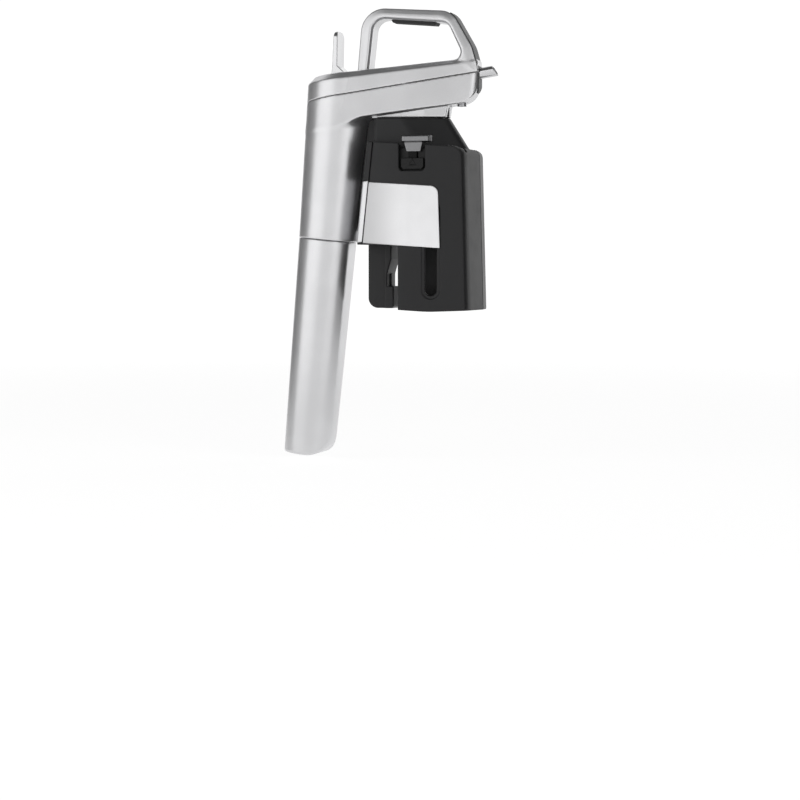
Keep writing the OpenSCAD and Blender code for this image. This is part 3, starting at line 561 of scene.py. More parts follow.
class Shader:
    """A material and its node tree."""

    def __init__(self, name: str) -> None:
        """Makes an empty material with a Principled shader."""
        self.material = bpy.data.materials.new(name)
        self.material.use_nodes = True
        self.tree = self.material.node_tree
        self.tree.nodes.clear()
        self.out = self.tree.nodes.new("ShaderNodeOutputMaterial")
        self.main = self.tree.nodes.new("ShaderNodeBsdfPrincipled")
        self.tree.links.new(self.main.outputs[0], self.out.inputs["Surface"])

    def node(self, kind: str, settings: dict[str, object], inputs: dict[Union[int, str], object],
             output: Union[int, str] = 0) -> Sock:
        """Adds one node.

        Args:
            kind: The node's type.
            settings: Attributes to set on it.
            inputs: Values or sockets for its inputs.
            output: Which output is wanted.

        Returns:
            That output, wrapped.
        """
        made = self.tree.nodes.new(kind)
        for key, value in settings.items():
            setattr(made, key, value)
        for key, value in inputs.items():
            self.put(made.inputs[key], value)
        return Sock(self, made.outputs[output])

    def put(self, socket: bpy.types.NodeSocket, value: object) -> None:
        """Links a socket or sets its value."""
        if isinstance(value, Sock):
            self.tree.links.new(value.socket, socket)
        elif isinstance(value, tuple) and socket.type == "RGBA":
            socket.default_value = (*value, 1.0)[:4]
        else:
            socket.default_value = value

    def set(self, **inputs: object) -> None:
        """Sets the Principled shader's inputs, with _ for a space in their names."""
        for key, value in inputs.items():
            self.put(self.main.inputs[key.replace("_", " ")], value)

    @property
    def place(self) -> Sock:
        """Object coordinates in metres."""
        return self.node("ShaderNodeTexCoord", {}, {}, "Object")

    def noise(self, at: Sock, scale: float, detail: float = 3.0, rough: float = 0.5) -> Sock:
        """Noise around 0.5 at that many waves a metre."""
        return self.node("ShaderNodeTexNoise", {}, {"Vector": at, "Scale": scale, "Detail": detail,
                                                    "Roughness": rough})

    def cells(self, at: Sock, scale: float) -> Sock:
        """Distance to the nearest of many scattered points."""
        return self.node("ShaderNodeTexVoronoi", {}, {"Vector": at, "Scale": scale})

    def bump(self, height: Sock, distance: float) -> Sock:
        """A normal that follows a height.

        Args:
            height: The height, 0 to 1.
            distance: What a height of 1 stands for, in metres.

        Returns:
            The normal.
        """
        return self.node("ShaderNodeBump", {}, {"Height": height, "Distance": distance, "Strength": 1.0})


class Look(Enum):
    """What a surface is made of."""

    CAST = "satin cast metal"
    PLASTIC = "moulded plastic"
    RUBBER = "rubber"
    CHROME = "bright plating"
    BRUSHED = "brushed metal"
    TURNED = "turned metal"


@dataclass(frozen=True)
class Waves:
    """Waves a metre of each pattern on a surface."""

    broad: float = 38.0
    smudge: float = 130.0
    ripple: float = 260.0
    brush: float = 900.0
    pit: float = 2300.0
    fine: float = 2600.0
    spark: float = 3100.0


@dataclass(frozen=True)
class Depths:
    """Height of each surface's bumps, in metres."""

    brushed: float = 0.000012
    cast: float = 0.000014
    plated: float = 0.000006
    rubber: float = 0.00004
    moulded: float = 0.00002


@dataclass(frozen=True)
class Well:
    """The space behind the release slides where the core is out of the light, in metres."""

    x: Pair = (-0.0188, -0.0034)
    z: Pair = (-0.0078, 0.0049)
    from_middle: float = 0.0155

    def inside(self, at: Sock) -> Sock:
        """1 inside it and 0 outside."""
        x, y, z = at.part(0), at.part(1), at.part(2)
        inside = (x > self.x[0]) * (x < self.x[1]) * (z > self.z[0]) * (z < self.z[1])
        return inside * ((y * y) > self.from_middle ** 2)


WAVES, DEPTHS, WELL = Waves(), Depths(), Well()
DARKER, LIGHTER = 0.93, 1.04
# Tones of painted shade: the plate's darker back and the unlit well behind the release slides.
PAINTED_SHADE_TONE, UNLIT = 0.5, 0.25


@dataclass(frozen=True)
class Finish:
    """One finish, from which its material is made.

    A shade ramp is painted shade: it darkens the surface between two X, by a share of the way to the
    shade colour. A finish with a well is painted UNLIT behind the release slides, as painted shade.
    """

    name: str
    look: Look
    color: Triple
    rough: float = 0.4
    metal: float = 0.0
    grain: float = 1.0
    along: Triple = (1.0, 1.0, 1.0)
    shine: float = 0.3
    fade: Optional[tuple[float, float, float]] = None
    well: bool = False

    def build(self) -> bpy.types.Material:
        """Makes the material.

        Returns:
            The material.
        """
        s = Shader(self.name)
        at = s.place
        large = s.noise(at, WAVES.broad, 2.0)
        fine = s.noise(at, WAVES.fine, 4.0, 0.6)
        smudge = s.noise(at, WAVES.smudge, 5.0, 0.62).ramp(0.42, 0.72)
        rough: Number = self.rough + (large - 0.5) * 0.08 + smudge * 0.03
        if self.look in (Look.BRUSHED, Look.TURNED):
            lines = s.noise(at.stretched(self.along), WAVES.brush, 3.0, 0.65)
            tone = (lines * 0.75 + large * 0.25).ramp(0.25, 0.75)
            rough = rough + (lines - 0.5) * 0.14
            normal = s.bump(lines, DEPTHS.brushed * self.grain)
        elif self.look is Look.CAST:
            tone = (large * 0.7 + fine * 0.3).ramp(0.3, 0.7)
            normal = s.bump(fine * 0.6 + s.cells(at, WAVES.pit) * 0.4, DEPTHS.cast * self.grain)
        elif self.look is Look.CHROME:
            tone = large.ramp(0.3, 0.7)
            normal = s.bump(s.noise(at, WAVES.ripple, 2.0), DEPTHS.plated * self.grain)
        elif self.look is Look.RUBBER:
            tone = (large * 0.4 + fine * 0.6).ramp(0.3, 0.7)
            normal = s.bump(fine, DEPTHS.rubber * self.grain)
        else:
            tone = (large * 0.5 + fine * 0.5).ramp(0.3, 0.7)
            s.set(Specular_IOR_Level=self.shine)
            normal = s.bump(s.cells(at, WAVES.spark) * 0.5 + fine * 0.5, DEPTHS.moulded * self.grain)
        color = tone.mix(self.toned(DARKER), self.toned(LIGHTER))
        # Painted shade: darker towards the back of the plate, where its face turns away from the light.
        if self.fade:
            low, high, share = self.fade
            color = at.part(0).ramp(low, high, share, 0.0).mix(color, self.toned(PAINTED_SHADE_TONE))
        if self.well:
            color = WELL.inside(at).mix(color, self.toned(UNLIT))
        s.set(Base_Color=color, Roughness=rough, Metallic=self.metal, Normal=normal)
        s.material.diffuse_color = (*self.color, 1.0)
        return s.material

    def toned(self, by: float) -> Triple:
        """The colour made that much darker or lighter."""
        return tuple(min(1.0, c * by) for c in self.color)


SILVER = (0.68, 0.68, 0.69)

FINISHES: dict[str, Finish] = {f.name: f for f in (
    Finish("body_silver", Look.CAST, SILVER, 0.33, 0.9),
    Finish("cover_silver", Look.CAST, SILVER, 0.33, 0.9),
    Finish("cup_silver", Look.CAST, SILVER, 0.31, 0.92, grain=0.8),
    # Painted shade: the plate is painted darker towards its back edge.
    Finish("plate_silver", Look.CAST, (0.80, 0.80, 0.81), 0.30, 0.85, grain=0.6, fade=(-0.036, -0.006, 0.8)),
    Finish("trim_silver", Look.CAST, (0.68, 0.68, 0.69), 0.3, 0.85, grain=0.6),
    Finish("trigger_chrome", Look.CHROME, (0.66, 0.66, 0.67), 0.14, 1.0),
    Finish("spout_chrome", Look.CHROME, (0.60, 0.60, 0.61), 0.12, 1.0),
    Finish("screw_steel", Look.TURNED, (0.42, 0.42, 0.43), 0.3, 1.0),
    Finish("latch_steel", Look.BRUSHED, (0.23, 0.23, 0.235), 0.30, 0.95, along=(0.15, 1.0, 6.0)),
    Finish("strip_grey", Look.PLASTIC, (0.085, 0.087, 0.09), 0.42, 0.25),
    Finish("arm_black", Look.PLASTIC, (0.021, 0.021, 0.022), 0.44),
    Finish("base_black", Look.PLASTIC, (0.021, 0.021, 0.022), 0.42, well=True),
    # Near-black strap: black plastic, painted darker than the other blacks as shade in the gap behind the
    # hook.
    Finish("recess_black", Look.PLASTIC, (0.007, 0.007, 0.007), 0.5, shine=0.15),
    Finish("rail_black", Look.PLASTIC, (0.022, 0.022, 0.023), 0.4),
    Finish("rubber_black", Look.RUBBER, (0.020, 0.020, 0.021), 0.68),
    Finish("liner_grey", Look.PLASTIC, (0.22, 0.22, 0.22), 0.5),
    Finish("steel", Look.TURNED, (0.50, 0.50, 0.51), 0.28, 1.0),
    Finish("needle_steel", Look.BRUSHED, (0.62, 0.62, 0.63), 0.2, 1.0, along=(6.0, 6.0, 0.2)),
    Finish("capsule_steel", Look.TURNED, (0.52, 0.50, 0.47), 0.26, 1.0),
    Finish("brass", Look.TURNED, (0.60, 0.42, 0.16), 0.28, 1.0),
)}


# --------------------------------------------------------------------------------------------------
# The body that slides: casting, cover with loop handle, cup, trigger, strips and spout
# --------------------------------------------------------------------------------------------------


def rising(slope: float) -> float:
    """Rise of a slope given in degrees."""
    return math.tan(math.radians(slope))


@dataclass(frozen=True)
class ArmAxis:
    """The leaning axis of the capsule arm."""

    back: float = 56.0
    lean: float = 5.5

    def frame(self, x: Array, z: Array) -> tuple[Array, Array]:
        """Distance across the axis and distance along it."""
        sin, cos = math.sin(math.radians(self.lean)), math.cos(math.radians(self.lean))
        return (x + self.back) * cos - z * sin, (x + self.back) * sin + z * cos

    def cone(self, radius: float, taper: float = 0.0, at: float = 0.0) -> Solid:
        """An endless cone round the axis.

        Args:
            radius: Its radius at one place.
            taper: How much the radius grows for each millimetre up the axis.
            at: That place, as a distance along the axis.

        Returns:
            The cone, or a rod where there is no taper.
        """

        def fn(x: Array, y: Array, z: Array) -> Array:
            across, s = self.frame(x, z)
            return np.hypot(across, y) - (radius + (s - at) * taper)

        return Solid(fn)

    def span(self, low: float, high: float) -> Solid:
        """Everything between two distances along the axis."""

        def fn(x: Array, y: Array, z: Array) -> Array:
            _, s = self.frame(x, z)
            return np.abs(s - (low + high) / 2) - (high - low) / 2

        return Solid(fn)


AXIS = ArmAxis()


@dataclass(frozen=True)
class HeadForm:
    """The form that the casting and its cover share. Sloping lines are a height at x = 0 and degrees."""

    joint: float = -40.6
    joint_gap: float = 0.12
    arm_r: float = 14.9
    arm_taper: float = 0.02926
    rear_r: float = 16.6
    nose_r: float = 6.4
    nose_at: float = 65.1
    nose_front: float = 18.5
    nose_round: float = 9.0
    belly: Pair = (25.3, 7.2)
    seam: Pair = (39.1, 8.9)
    top: Pair = (47.4, 5.7)
    chamfer: Pair = (2.3, -0.015)
    corner: float = 5.0
    gap: float = 0.11
    floor: tuple[Pair, ...] = ((-63.0, 23.0), (-38.6, 23.0), (-36.0, 23.15), (8.6, 28.8))
    roof: tuple[Pair, ...] = ((8.6, 43.9), (-63.0, 36.9))
    room: tuple[Pair, ...] = ((-63.0, 11.0), (-44.0, 11.0), (8.6, 4.4))

    def height(self, line: Pair, x: float) -> float:
        """Height of a sloping line at x."""
        return line[0] + x * rising(line[1])

    def above(self, line: Pair, by: float = 0.0) -> Solid:
        """Everything more than that far above a sloping line."""
        return half_space(rising(line[1]), -1.0, -(line[0] + by))

    def below(self, line: Pair, by: float = 0.0) -> Solid:
        """Everything more than that far below a sloping line."""
        return half_space(-rising(line[1]), 1.0, line[0] - by)

    def arm(self) -> Solid:
        """The arm's cone."""
        return AXIS.cone(self.arm_r, self.arm_taper, self.joint)

    def plan(self) -> Solid:
        """The head seen along the arm: two circles and their tangents."""
        b = (self.rear_r - self.nose_r) / self.nose_at
        a = math.sqrt(1 - b * b)

        def fn(x: Array, y: Array, z: Array) -> Array:
            across, _ = AXIS.frame(x, z)
            side = np.abs(y)
            k = -b * side + a * across
            near = np.hypot(side, across) - self.rear_r
            far = np.hypot(side, across - self.nose_at) - self.nose_r
            flat = a * side + b * across - self.rear_r
            return np.where(k < 0, near, np.where(k > a * self.nose_at, far, flat))

        return Solid(fn)

    def mass(self) -> Solid:
        """Casting and cover in one, without an upper end."""
        front = half_space(1.0, 0.0, self.nose_front)
        side = self.above(self.belly).rounded_and(front, self.nose_round)
        return (self.arm() | self.plan()).rounded_and(self.arm().filleted_or(side, self.corner), 0.5)

    def hollow(self) -> Solid:
        """The space inside the head."""
        return plan_shape(both_sides(self.room)) & side_shape(self.floor + self.roof)


FORM = HeadForm()


@dataclass(frozen=True)
class SpoutLine:
    """The line that the spout lies on."""

    start: Pair = (3.0, 38.97)
    slope: float = 8.9
    radius: float = 2.8
    wall: float = 0.7
    inner_end: float = 4.0
    length: float = 25.4
    bevel_at: Pair = (26.33, 42.5)
    bevel: float = 32.0

    def rod(self, radius: float, low: float = 0.0, high: float = 60.0) -> Solid:
        """A rod on the line, between two distances along it."""
        c, s = math.cos(math.radians(self.slope)), math.sin(math.radians(self.slope))

        def fn(x: Array, y: Array, z: Array) -> Array:
            dx, dz = x - self.start[0], z - self.start[1]
            along, up = dx * c + dz * s, dz * c - dx * s
            r = np.hypot(up, y) - radius
            return round_max(r, np.abs(along - (low + high) / 2) - (high - low) / 2, 0.1)

        return Solid(fn)


SPOUT = SpoutLine()


@dataclass
class Piece:
    """One part of the picture, with the CAD pieces that it stands for. Its sizes are in millimetres."""

    mesher: Mesher
    finishes: dict[str, bpy.types.Material]
    made: list[bpy.types.Object] = field(default_factory=list)
    replaced: set[str] = field(default_factory=set)

    def add(self, obj: bpy.types.Object, finish: str, body: str, nodes: Iterable[str]) -> None:
        """Gives an object its finish, its body and the CAD pieces that it stands for.

        Args:
            obj: The object.
            finish: Name of its finish.
            body: The body that it rides on.
            nodes: The CAD pieces that it stands for.
        """
        obj.data.materials.clear()
        obj.data.materials.append(self.finishes[finish])
        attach(obj, body)
        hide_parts(*nodes)
        self.replaced |= set(nodes)
        self.made.append(obj)


@dataclass
class BodyCasting(Piece):
    """The cast body: a head over the base and the arm that holds the capsule."""

    collar_r: float = 12.2
    collar_length: float = 10.0
    capsule_room_r: float = 10.5
    hub_bore: float = 3.62
    screw_bore: float = 2.45
    screw_x: float = 9.4
    block_plan: tuple[Pair, ...] = ((-35.0, 8.0), (-8.0, 7.4), (4.6, 5.3))
    block_side: tuple[Pair, ...] = ((-35.0, 19.9), (2.4, 19.9), (3.6, 27.0), (-35.0, 24.0))

    def collar(self) -> Solid:
        """The collar that the cup screws onto, without the capsule's room in it."""
        low, high = FORM.joint - self.collar_length, FORM.joint + 6.0
        return AXIS.cone(self.collar_r).rounded_and(AXIS.span(low, high), 0.6)

    def build(self) -> None:
        """Makes the casting with its collar."""
        body = FORM.mass().rounded_and(FORM.below(FORM.seam, FORM.gap), 0.3)
        body = body.rounded_and(AXIS.span(FORM.joint + FORM.joint_gap, 90.0), 0.35)
        block = plan_shape(both_sides(self.block_plan)).rounded_and(side_shape(self.block_side), 0.5)
        body = body.filleted_or(block, 0.5) | self.collar()
        body = body - (AXIS.cone(self.capsule_room_r) & AXIS.span(FORM.joint - 12.0, FORM.joint + 8.0))
        body = body - FORM.hollow()
        body = body.rounded_cut(rod(2, (0, 0, 0), self.hub_bore, 18.0, 30.0), 0.25)
        body = body.rounded_cut(rod(2, (self.screw_x, 0, 0), self.screw_bore, 20.0, 27.3), 0.3)
        body = body.rounded_cut(SPOUT.rod(SPOUT.radius + 0.12), 0.2)
        obj = self.mesher.from_solid("body_casting", body, (-78, -17.6, -52.0), (19.8, 17.6, 44.0), 0.5)
        self.add(obj, "body_silver", "carriage", ["body_shell"])


@dataclass(frozen=True)
class LoopOutline:
    """Corners of the loop handle from the side, with their fillets, and the slanted edges of its sides."""

    outer: tuple[Triple, ...] = ((-43.5, 38.0, 0), (-40.2, 74.93, 12.0), (5.0, 72.03, 9.5),
                                 (15.3, 54.4, 16.0), (18.5, 43.4, 0), (18.4, 41.0, 0))
    inner: tuple[Triple, ...] = ((-37.7, 38.0, 0), (-34.2, 69.3, 6.0), (3.2, 66.1, 5.4), (11.2, 49.4, 4.0),
                                 (0.0, 46.2, 0), (-1.0, 38.0, 0))
    half: float = 6.5
    outer_edge: float = 5.35
    outer_step: float = 3.4
    inner_edge: float = 4.9
    inner_step: float = 1.2

    def slant(self, w: Array, depth: Array, edge: float, step: float) -> Array:
        """Distance to the slanted face between a side and an edge.

        Args:
            w: Distance from the middle plane.
            depth: Signed distance from the outline, negative inside it.
            edge: Half width at the outline.
            step: How far in from the outline the full width starts.

        Returns:
            The distance.
        """
        return ((w - edge) * step + depth * (self.half - edge)) / math.hypot(step, self.half - edge)


@dataclass
class TopCover(Piece):
    """The cover over the head, with the loop handle in one piece with it."""

    outline: LoopOutline = LoopOutline()
    edge_r: float = 0.4
    trigger_slot: tuple[Triple, Triple] = ((-60.2, -6.6, 30.0), (-45.6, 6.6, 60.0))

    def loop(self) -> Solid:
        """The handle: flat sides with a slanted edge outside and inside."""
        o, r = self.outline, self.edge_r
        outer, inner = rounded_outline(o.outer), rounded_outline(o.inner)

        def fn(x: Array, y: Array, z: Array) -> Array:
            d = polygon_distance(x, z, outer)
            e = -polygon_distance(x, z, inner)
            w = np.abs(y)
            a = o.slant(w, d, o.outer_edge, o.outer_step)
            b = o.slant(w, e, o.inner_edge, o.inner_step)
            sides = round_max(round_max(w - o.half, a, r), b, r)
            return round_max(round_max(sides, d, r), e, r)

        return Solid(fn)

    def chamfered(self) -> Solid:
        """The cover's block, with a slanted band round its top that widens towards the back."""
        mass, top = FORM.mass(), FORM.below(FORM.top)

        def fn(x: Array, y: Array, z: Array) -> Array:
            a, b = mass(x, y, z), top(x, y, z)
            band_size = FORM.chamfer[0] + FORM.chamfer[1] * x
            return round_max(round_max(a, b, 0.05), (a + b + band_size) / math.sqrt(2), 0.45)

        return Solid(fn)

    def build(self) -> None:
        """Makes the cover."""
        cover = self.chamfered().filleted_or(self.loop(), 0.7)
        cover = cover.rounded_and(FORM.above(FORM.seam, FORM.gap), 0.3) - FORM.hollow()
        cover = cover.rounded_cut(box(*self.trigger_slot, 0.4), 0.4)
        cover = cover.rounded_cut(SPOUT.rod(SPOUT.radius + 0.12), 0.2)
        obj = self.mesher.from_solid("top_cover_and_handle", cover, (-72, -18, 28.0), (19.8, 18, 75.5), 0.45)
        self.add(obj, "cover_silver", "carriage", ["top_cover"])


@dataclass
class CapsuleCup(Piece):
    """The cup that screws onto the arm, with its end rounded towards the bottle."""

    low: float = -149.6
    bend_at: float = 13.2
    bend_r: float = 12.0
    skin_r: float = 14.84
    skin_taper: float = 0.01835
    thread_r: float = 12.45
    thread_low: float = -51.8
    room_r: float = 10.4
    room_low: float = -60.0

    def build(self) -> None:
        """Makes the cup."""
        beyond = -30.0

        def bend(x: Array, y: Array, z: Array) -> Array:
            across, s = AXIS.frame(x, z)
            return round_max(self.low - s, across - self.bend_at, self.bend_r)

        cup = AXIS.cone(self.skin_r, self.skin_taper, FORM.joint).rounded_and(Solid(bend), 1.2)
        cup = cup.rounded_and(AXIS.span(-200.0, FORM.joint - FORM.joint_gap), 0.35)
        cup = cup - (AXIS.cone(self.thread_r) & AXIS.span(self.thread_low, beyond))
        cup = cup - (AXIS.cone(self.room_r) & AXIS.span(self.room_low, beyond))
        lo, hi = (-85.5, -15.2, -150.6), (-44.0, 15.2, -38.0)
        obj = self.mesher.from_solid("capsule_cup_shell", cup, lo, hi, 0.5)
        self.add(obj, "cup_silver", "cup", ["capsule_cup"])


@dataclass
class Trigger(Piece):
    """The blade behind the handle."""

    pivot: Pair = (-53.4, 37.6)
    foot_r: float = 3.4
    toe: Pair = (-46.0, 36.4)
    toe_r: float = 1.3
    pin_bore: float = 1.55
    half: float = 6.2
    top: float = 64.0
    rear: tuple[Pair, ...] = ((-54.5, 64.0), (-55.2, 63.1), (-56.0, 46.0), (-56.8, 40.0))
    sole: Pair = (-50.6, 35.6)
    front: tuple[Pair, ...] = ((-49.4, 40.4), (-50.2, 43.6), (-53.4, 46.6), (-53.1, 61.4), (-53.4, 63.6))

    def build(self) -> None:
        """Makes the blade."""
        line = [*self.rear, *arc(self.pivot, self.foot_r, range(200, 291, 10)), self.sole,
                *arc(self.toe, self.toe_r, range(260, 421, 16)), *self.front]

        def across(x: Array, y: Array, z: Array) -> Array:
            return round_max(np.abs(y) - self.half + 0 * z, z - self.top, 4.0)

        bore = rod(1, (self.pivot[0], 0, self.pivot[1]), self.pin_bore, -20, 20)
        blade = side_shape(line).rounded_and(Solid(across), 0.4) - bore
        obj = self.mesher.from_solid("trigger_blade", blade, (-58.4, -6.6, 33.4), (-44.2, 6.6, 64.4), 0.3)
        self.add(obj, "trigger_chrome", "trigger", ["trigger"])


@dataclass
class FrontStrips(Piece):
    """The dark strip down the front of handle and body, in two pieces."""

    half: float = 3.7
    flare: float = 1.5
    thick: float = 0.9
    proud: Pair = (0.45, 0.3)
    parting: float = 0.3
    first: int = 19

    def line(self) -> list[Pair]:
        """The front edge from the handle's upper corner to the end under the nose."""
        o = TopCover.outline.outer
        lead: list[Pair] = []
        for a, b, c in zip(o, o[1:], o[2:5]):
            lead += fillet(a[:2], b[:2], c[:2], b[2])
        nose_x = FORM.nose_front - FORM.nose_round
        nose_z = FORM.height(FORM.belly, nose_x) + FORM.nose_round / math.cos(math.radians(FORM.belly[1]))
        return lead[self.first:] + [o[4][:2]] + arc((nose_x, nose_z), FORM.nose_round, range(0, -28, -3))

    def strip(self, out: float) -> Solid:
        """The whole strip, standing proud by that much."""
        line = self.line()
        outer, inner = [], []
        for i, p in enumerate(line):
            a, b = line[max(i - 1, 0)], line[min(i + 1, len(line) - 1)]
            t = unit((b[0] - a[0], b[1] - a[1]))
            outer.append((p[0] - t[1] * out, p[1] + t[0] * out))
            inner.append((p[0] + t[1] * self.thick, p[1] - t[0] * self.thick))
        wide = self.half + self.flare
        edge = [(-wide, 90.0), (-wide, 47.5), (-self.half, 43.0), (-self.half, 34.4),
                (-self.half * 0.55, 32.2)]
        edge += [(0.0, 31.2)] + [(-y, z) for y, z in edge[::-1]]
        front = Solid(lambda x, y, z: polygon_distance(y, z, edge))
        return side_shape(outer + inner[::-1]).rounded_and(front, 0.25)

    def build(self) -> None:
        """Makes both strips."""
        bore = SPOUT.rod(SPOUT.radius + 0.1)
        halves = (("upper", FORM.above(FORM.seam, self.parting), (-6, -5.4, 41.0), (20.4, 5.4, 75.5)),
                  ("lower", FORM.below(FORM.seam, self.parting), (15, -4, 30.6), (20.4, 4, 43.0)))
        for (name, side, lo, hi), out in zip(halves, self.proud):
            strip = self.strip(out).rounded_and(side, 0.15) - bore
            obj = self.mesher.from_solid("front_strip_" + name, strip, lo, hi, 0.3)
            self.add(obj, "strip_grey", "carriage", [name + "_front_strip"])


@dataclass
class Spout(Piece):
    """The tube that pours, cut off at a slant."""

    def build(self) -> None:
        """Makes the tube."""
        a = math.radians(SPOUT.bevel)
        n = (math.cos(a), math.sin(a))
        cut = half_space(n[0], n[1], n[0] * SPOUT.bevel_at[0] + n[1] * SPOUT.bevel_at[1])
        tube = SPOUT.rod(SPOUT.radius, SPOUT.inner_end, SPOUT.length).rounded_and(cut, 0.2)
        tube = tube.rounded_cut(SPOUT.rod(SPOUT.radius - SPOUT.wall, -2.0, 60.0), 0.15)
        obj = self.mesher.from_solid("spout_tube", tube, (6, -3, 36.0), (29, 3, 47.0), 0.22)
        self.add(obj, "spout_chrome", "carriage", ["spout"])


# --------------------------------------------------------------------------------------------------
# The rail, the base and its clamp arms
# --------------------------------------------------------------------------------------------------


@dataclass
class Rail(Piece):
    """The black rail under the head, with its catch near the lower end."""

    top: float = 19.9
    low: float = -74.6
    web_back: float = -45.0
    web_half: float = 4.0
    flange_back: float = -28.4
    flange_front: float = -24.9
    flange_half: float = 8.0
    screw_at: Pair = (-20.0, 8.0)
    screw_r: float = 2.8
    catch_room: tuple[Triple, Triple] = ((-27.9, -2.05, -63.6), (-25.0, 2.05, -57.4))
    catch: tuple[Triple, Triple] = ((-27.8, -2.0, -63.5), (-26.3, 2.0, -57.5))

    def build(self) -> None:
        """Makes the rail and the catch."""
        back, low, foot = self.flange_back, self.low, -36.4
        web = [(back, self.top), (self.web_back, self.top), (self.web_back, foot), (-37.9, foot)]
        web += fillet((-37.9, -40.0), (-37.9, low), (back, low), 5.0) + [(back, low)]
        flange = [(back, self.top), (back, low), (-24.5, low), (-23.7, -73.8), (-23.7, -63.6), (-27.0, -63.6),
                  (-27.0, -57.4), (self.flange_front, -50.0), (self.flange_front, self.top)]
        rail = side_shape(web).rounded_and(band(1, -self.web_half, self.web_half), 0.6)
        rail = rail | side_shape(flange).rounded_and(band(1, -self.flange_half, self.flange_half), 0.5)
        rail = rail - FORM.arm().grown(0.05) - box(*self.catch_room)
        for z in self.screw_at:
            rail = rail - rod(0, (0, 0, z), self.screw_r, back, -20.0)
        obj = self.mesher.from_solid("rail_bar", rail, (-42, -8.2, -75), (-23.4, 8.2, 20.2), 0.4)
        self.add(obj, "rail_black", "carriage", ["rail"])
        plate = box(*self.catch, 0.3)
        obj = self.mesher.from_solid("rail_catch_plate", plate, (-28, -2.2, -64), (-26, 2.2, -57), 0.2)
        self.add(obj, "rail_black", "carriage", ["rail_catch"])


@dataclass(frozen=True)
class BasePlan:
    """The base seen from above: straight sides that curve in at the back, and two shallow slopes in front.

    The walls are kept as points that they pass through and as directions that they face, in X and |Y|.
    """

    half: float = 22.6
    bend_from: float = -12.0
    bend_r: float = 90.0
    back_foot: float = -35.0
    back_lean: float = 6.5
    arm_top: Pair = (5.7, 3.9)
    tilt: float = 1.5
    wall: float = 2.2
    front: float = 18.6
    corner: float = 15.0
    hinge_y: float = 17.4
    hinge_z: float = 3.0

    def sides(self) -> Solid:
        """Everything between the two sides."""
        middle = self.half - self.bend_r

        def fn(x: Array, y: Array, z: Array) -> Array:
            w = np.abs(y)
            curved = np.hypot(np.minimum(x - self.bend_from, 0.0), w - middle) - self.bend_r
            return np.where(w > middle + 1.0, curved + 0 * z, w - self.half + 0 * z)

        return Solid(fn)

    def back(self, inset: float = 0.0) -> Solid:
        """Everything more than that far in front of the leaning back."""
        return half_space(-1.0, rising(self.back_lean), -(self.back_foot + inset))

    def near_back(self, reach: float) -> Solid:
        """Everything less than that far in front of the leaning back."""
        return half_space(1.0, -rising(self.back_lean), self.back_foot + reach)

    def below_top(self) -> Solid:
        """Everything under the arms' upper edge."""
        return half_space(rising(self.arm_top[1]), 1.0, self.arm_top[0])

    def front_walls(self) -> Solid:
        """Everything behind the shallow slopes at the front and their corners."""
        walls = (((self.front, 0.0), (19.6, 2.7)), ((self.corner + 0.9, 19.6), (2.1, 0.9)),
                 ((self.corner, 21.7), (1.9, 1.6)))

        def fn(x: Array, y: Array, z: Array) -> Array:
            w = np.abs(y)
            a, b, c = (((x - at[0]) * n[0] + (w - at[1]) * n[1]) / math.hypot(*n) for at, n in walls)
            return round_max(round_max(a, b, 0.8), c, 0.8)

        return Solid(fn)

    def inner(self, play: float = 0.0) -> Solid:
        """The space inside the arms' walls, smaller by that much."""
        return self.tilted((self.sides() & self.front_walls()).grown(-self.wall - play))

    def tilted(self, solid: Solid) -> Solid:
        """A solid leant as the arms are."""
        c, s = math.cos(math.radians(self.tilt)), math.sin(math.radians(self.tilt))
        return Solid(lambda x, y, z: solid(x * c + z * s, y, z * c - x * s))

    def hinge(self, radius: float, low: float, high: float, edge: float = 0.15, side: int = 1) -> Solid:
        """A rod on a hinge's line, from low to high in X."""
        return rod(0, (0, side * self.hinge_y, self.hinge_z), radius, low, high, edge)


PLAN = BasePlan()


def one_side(solid: Solid, gap: float) -> Solid:
    """The left part of a solid, that much away from the middle plane."""
    return solid.rounded_and(Solid(lambda x, y, z: gap - y + 0 * x + 0 * z), 0.3)


def on_side(side: str, solid: Solid) -> Solid:
    """A left solid, mirrored if it is wanted on the right."""
    return solid if side == "left" else solid.mirrored()


@dataclass(frozen=True)
class SideForm:
    """A form that is there on both sides, as its left solid and how it is meshed and dressed."""

    name: str
    solid: Solid
    lo: Triple
    hi: Triple
    step: float
    finish: str
    node: str


@dataclass
class SidedPiece(Piece):
    """A piece that comes in a left and a right form."""

    def build_sides(self, forms: Sequence[SideForm], body: str) -> None:
        """Meshes every form on the left and then on the right.

        Args:
            forms: The forms.
            body: The name of the bodies that they ride on, without their side.
        """
        for side in ("left", "right"):
            for f in forms:
                low, high = (f.lo[1], f.hi[1]) if side == "left" else (-f.hi[1], -f.lo[1])
                lo, hi = (f.lo[0], low, f.lo[2]), (f.hi[0], high, f.hi[2])
                obj = self.mesher.from_solid(f"{side}_{f.name}", on_side(side, f.solid), lo, hi, f.step)
                self.add(obj, f.finish, f"{side}_{body}", [f"{side}_{f.node}"])


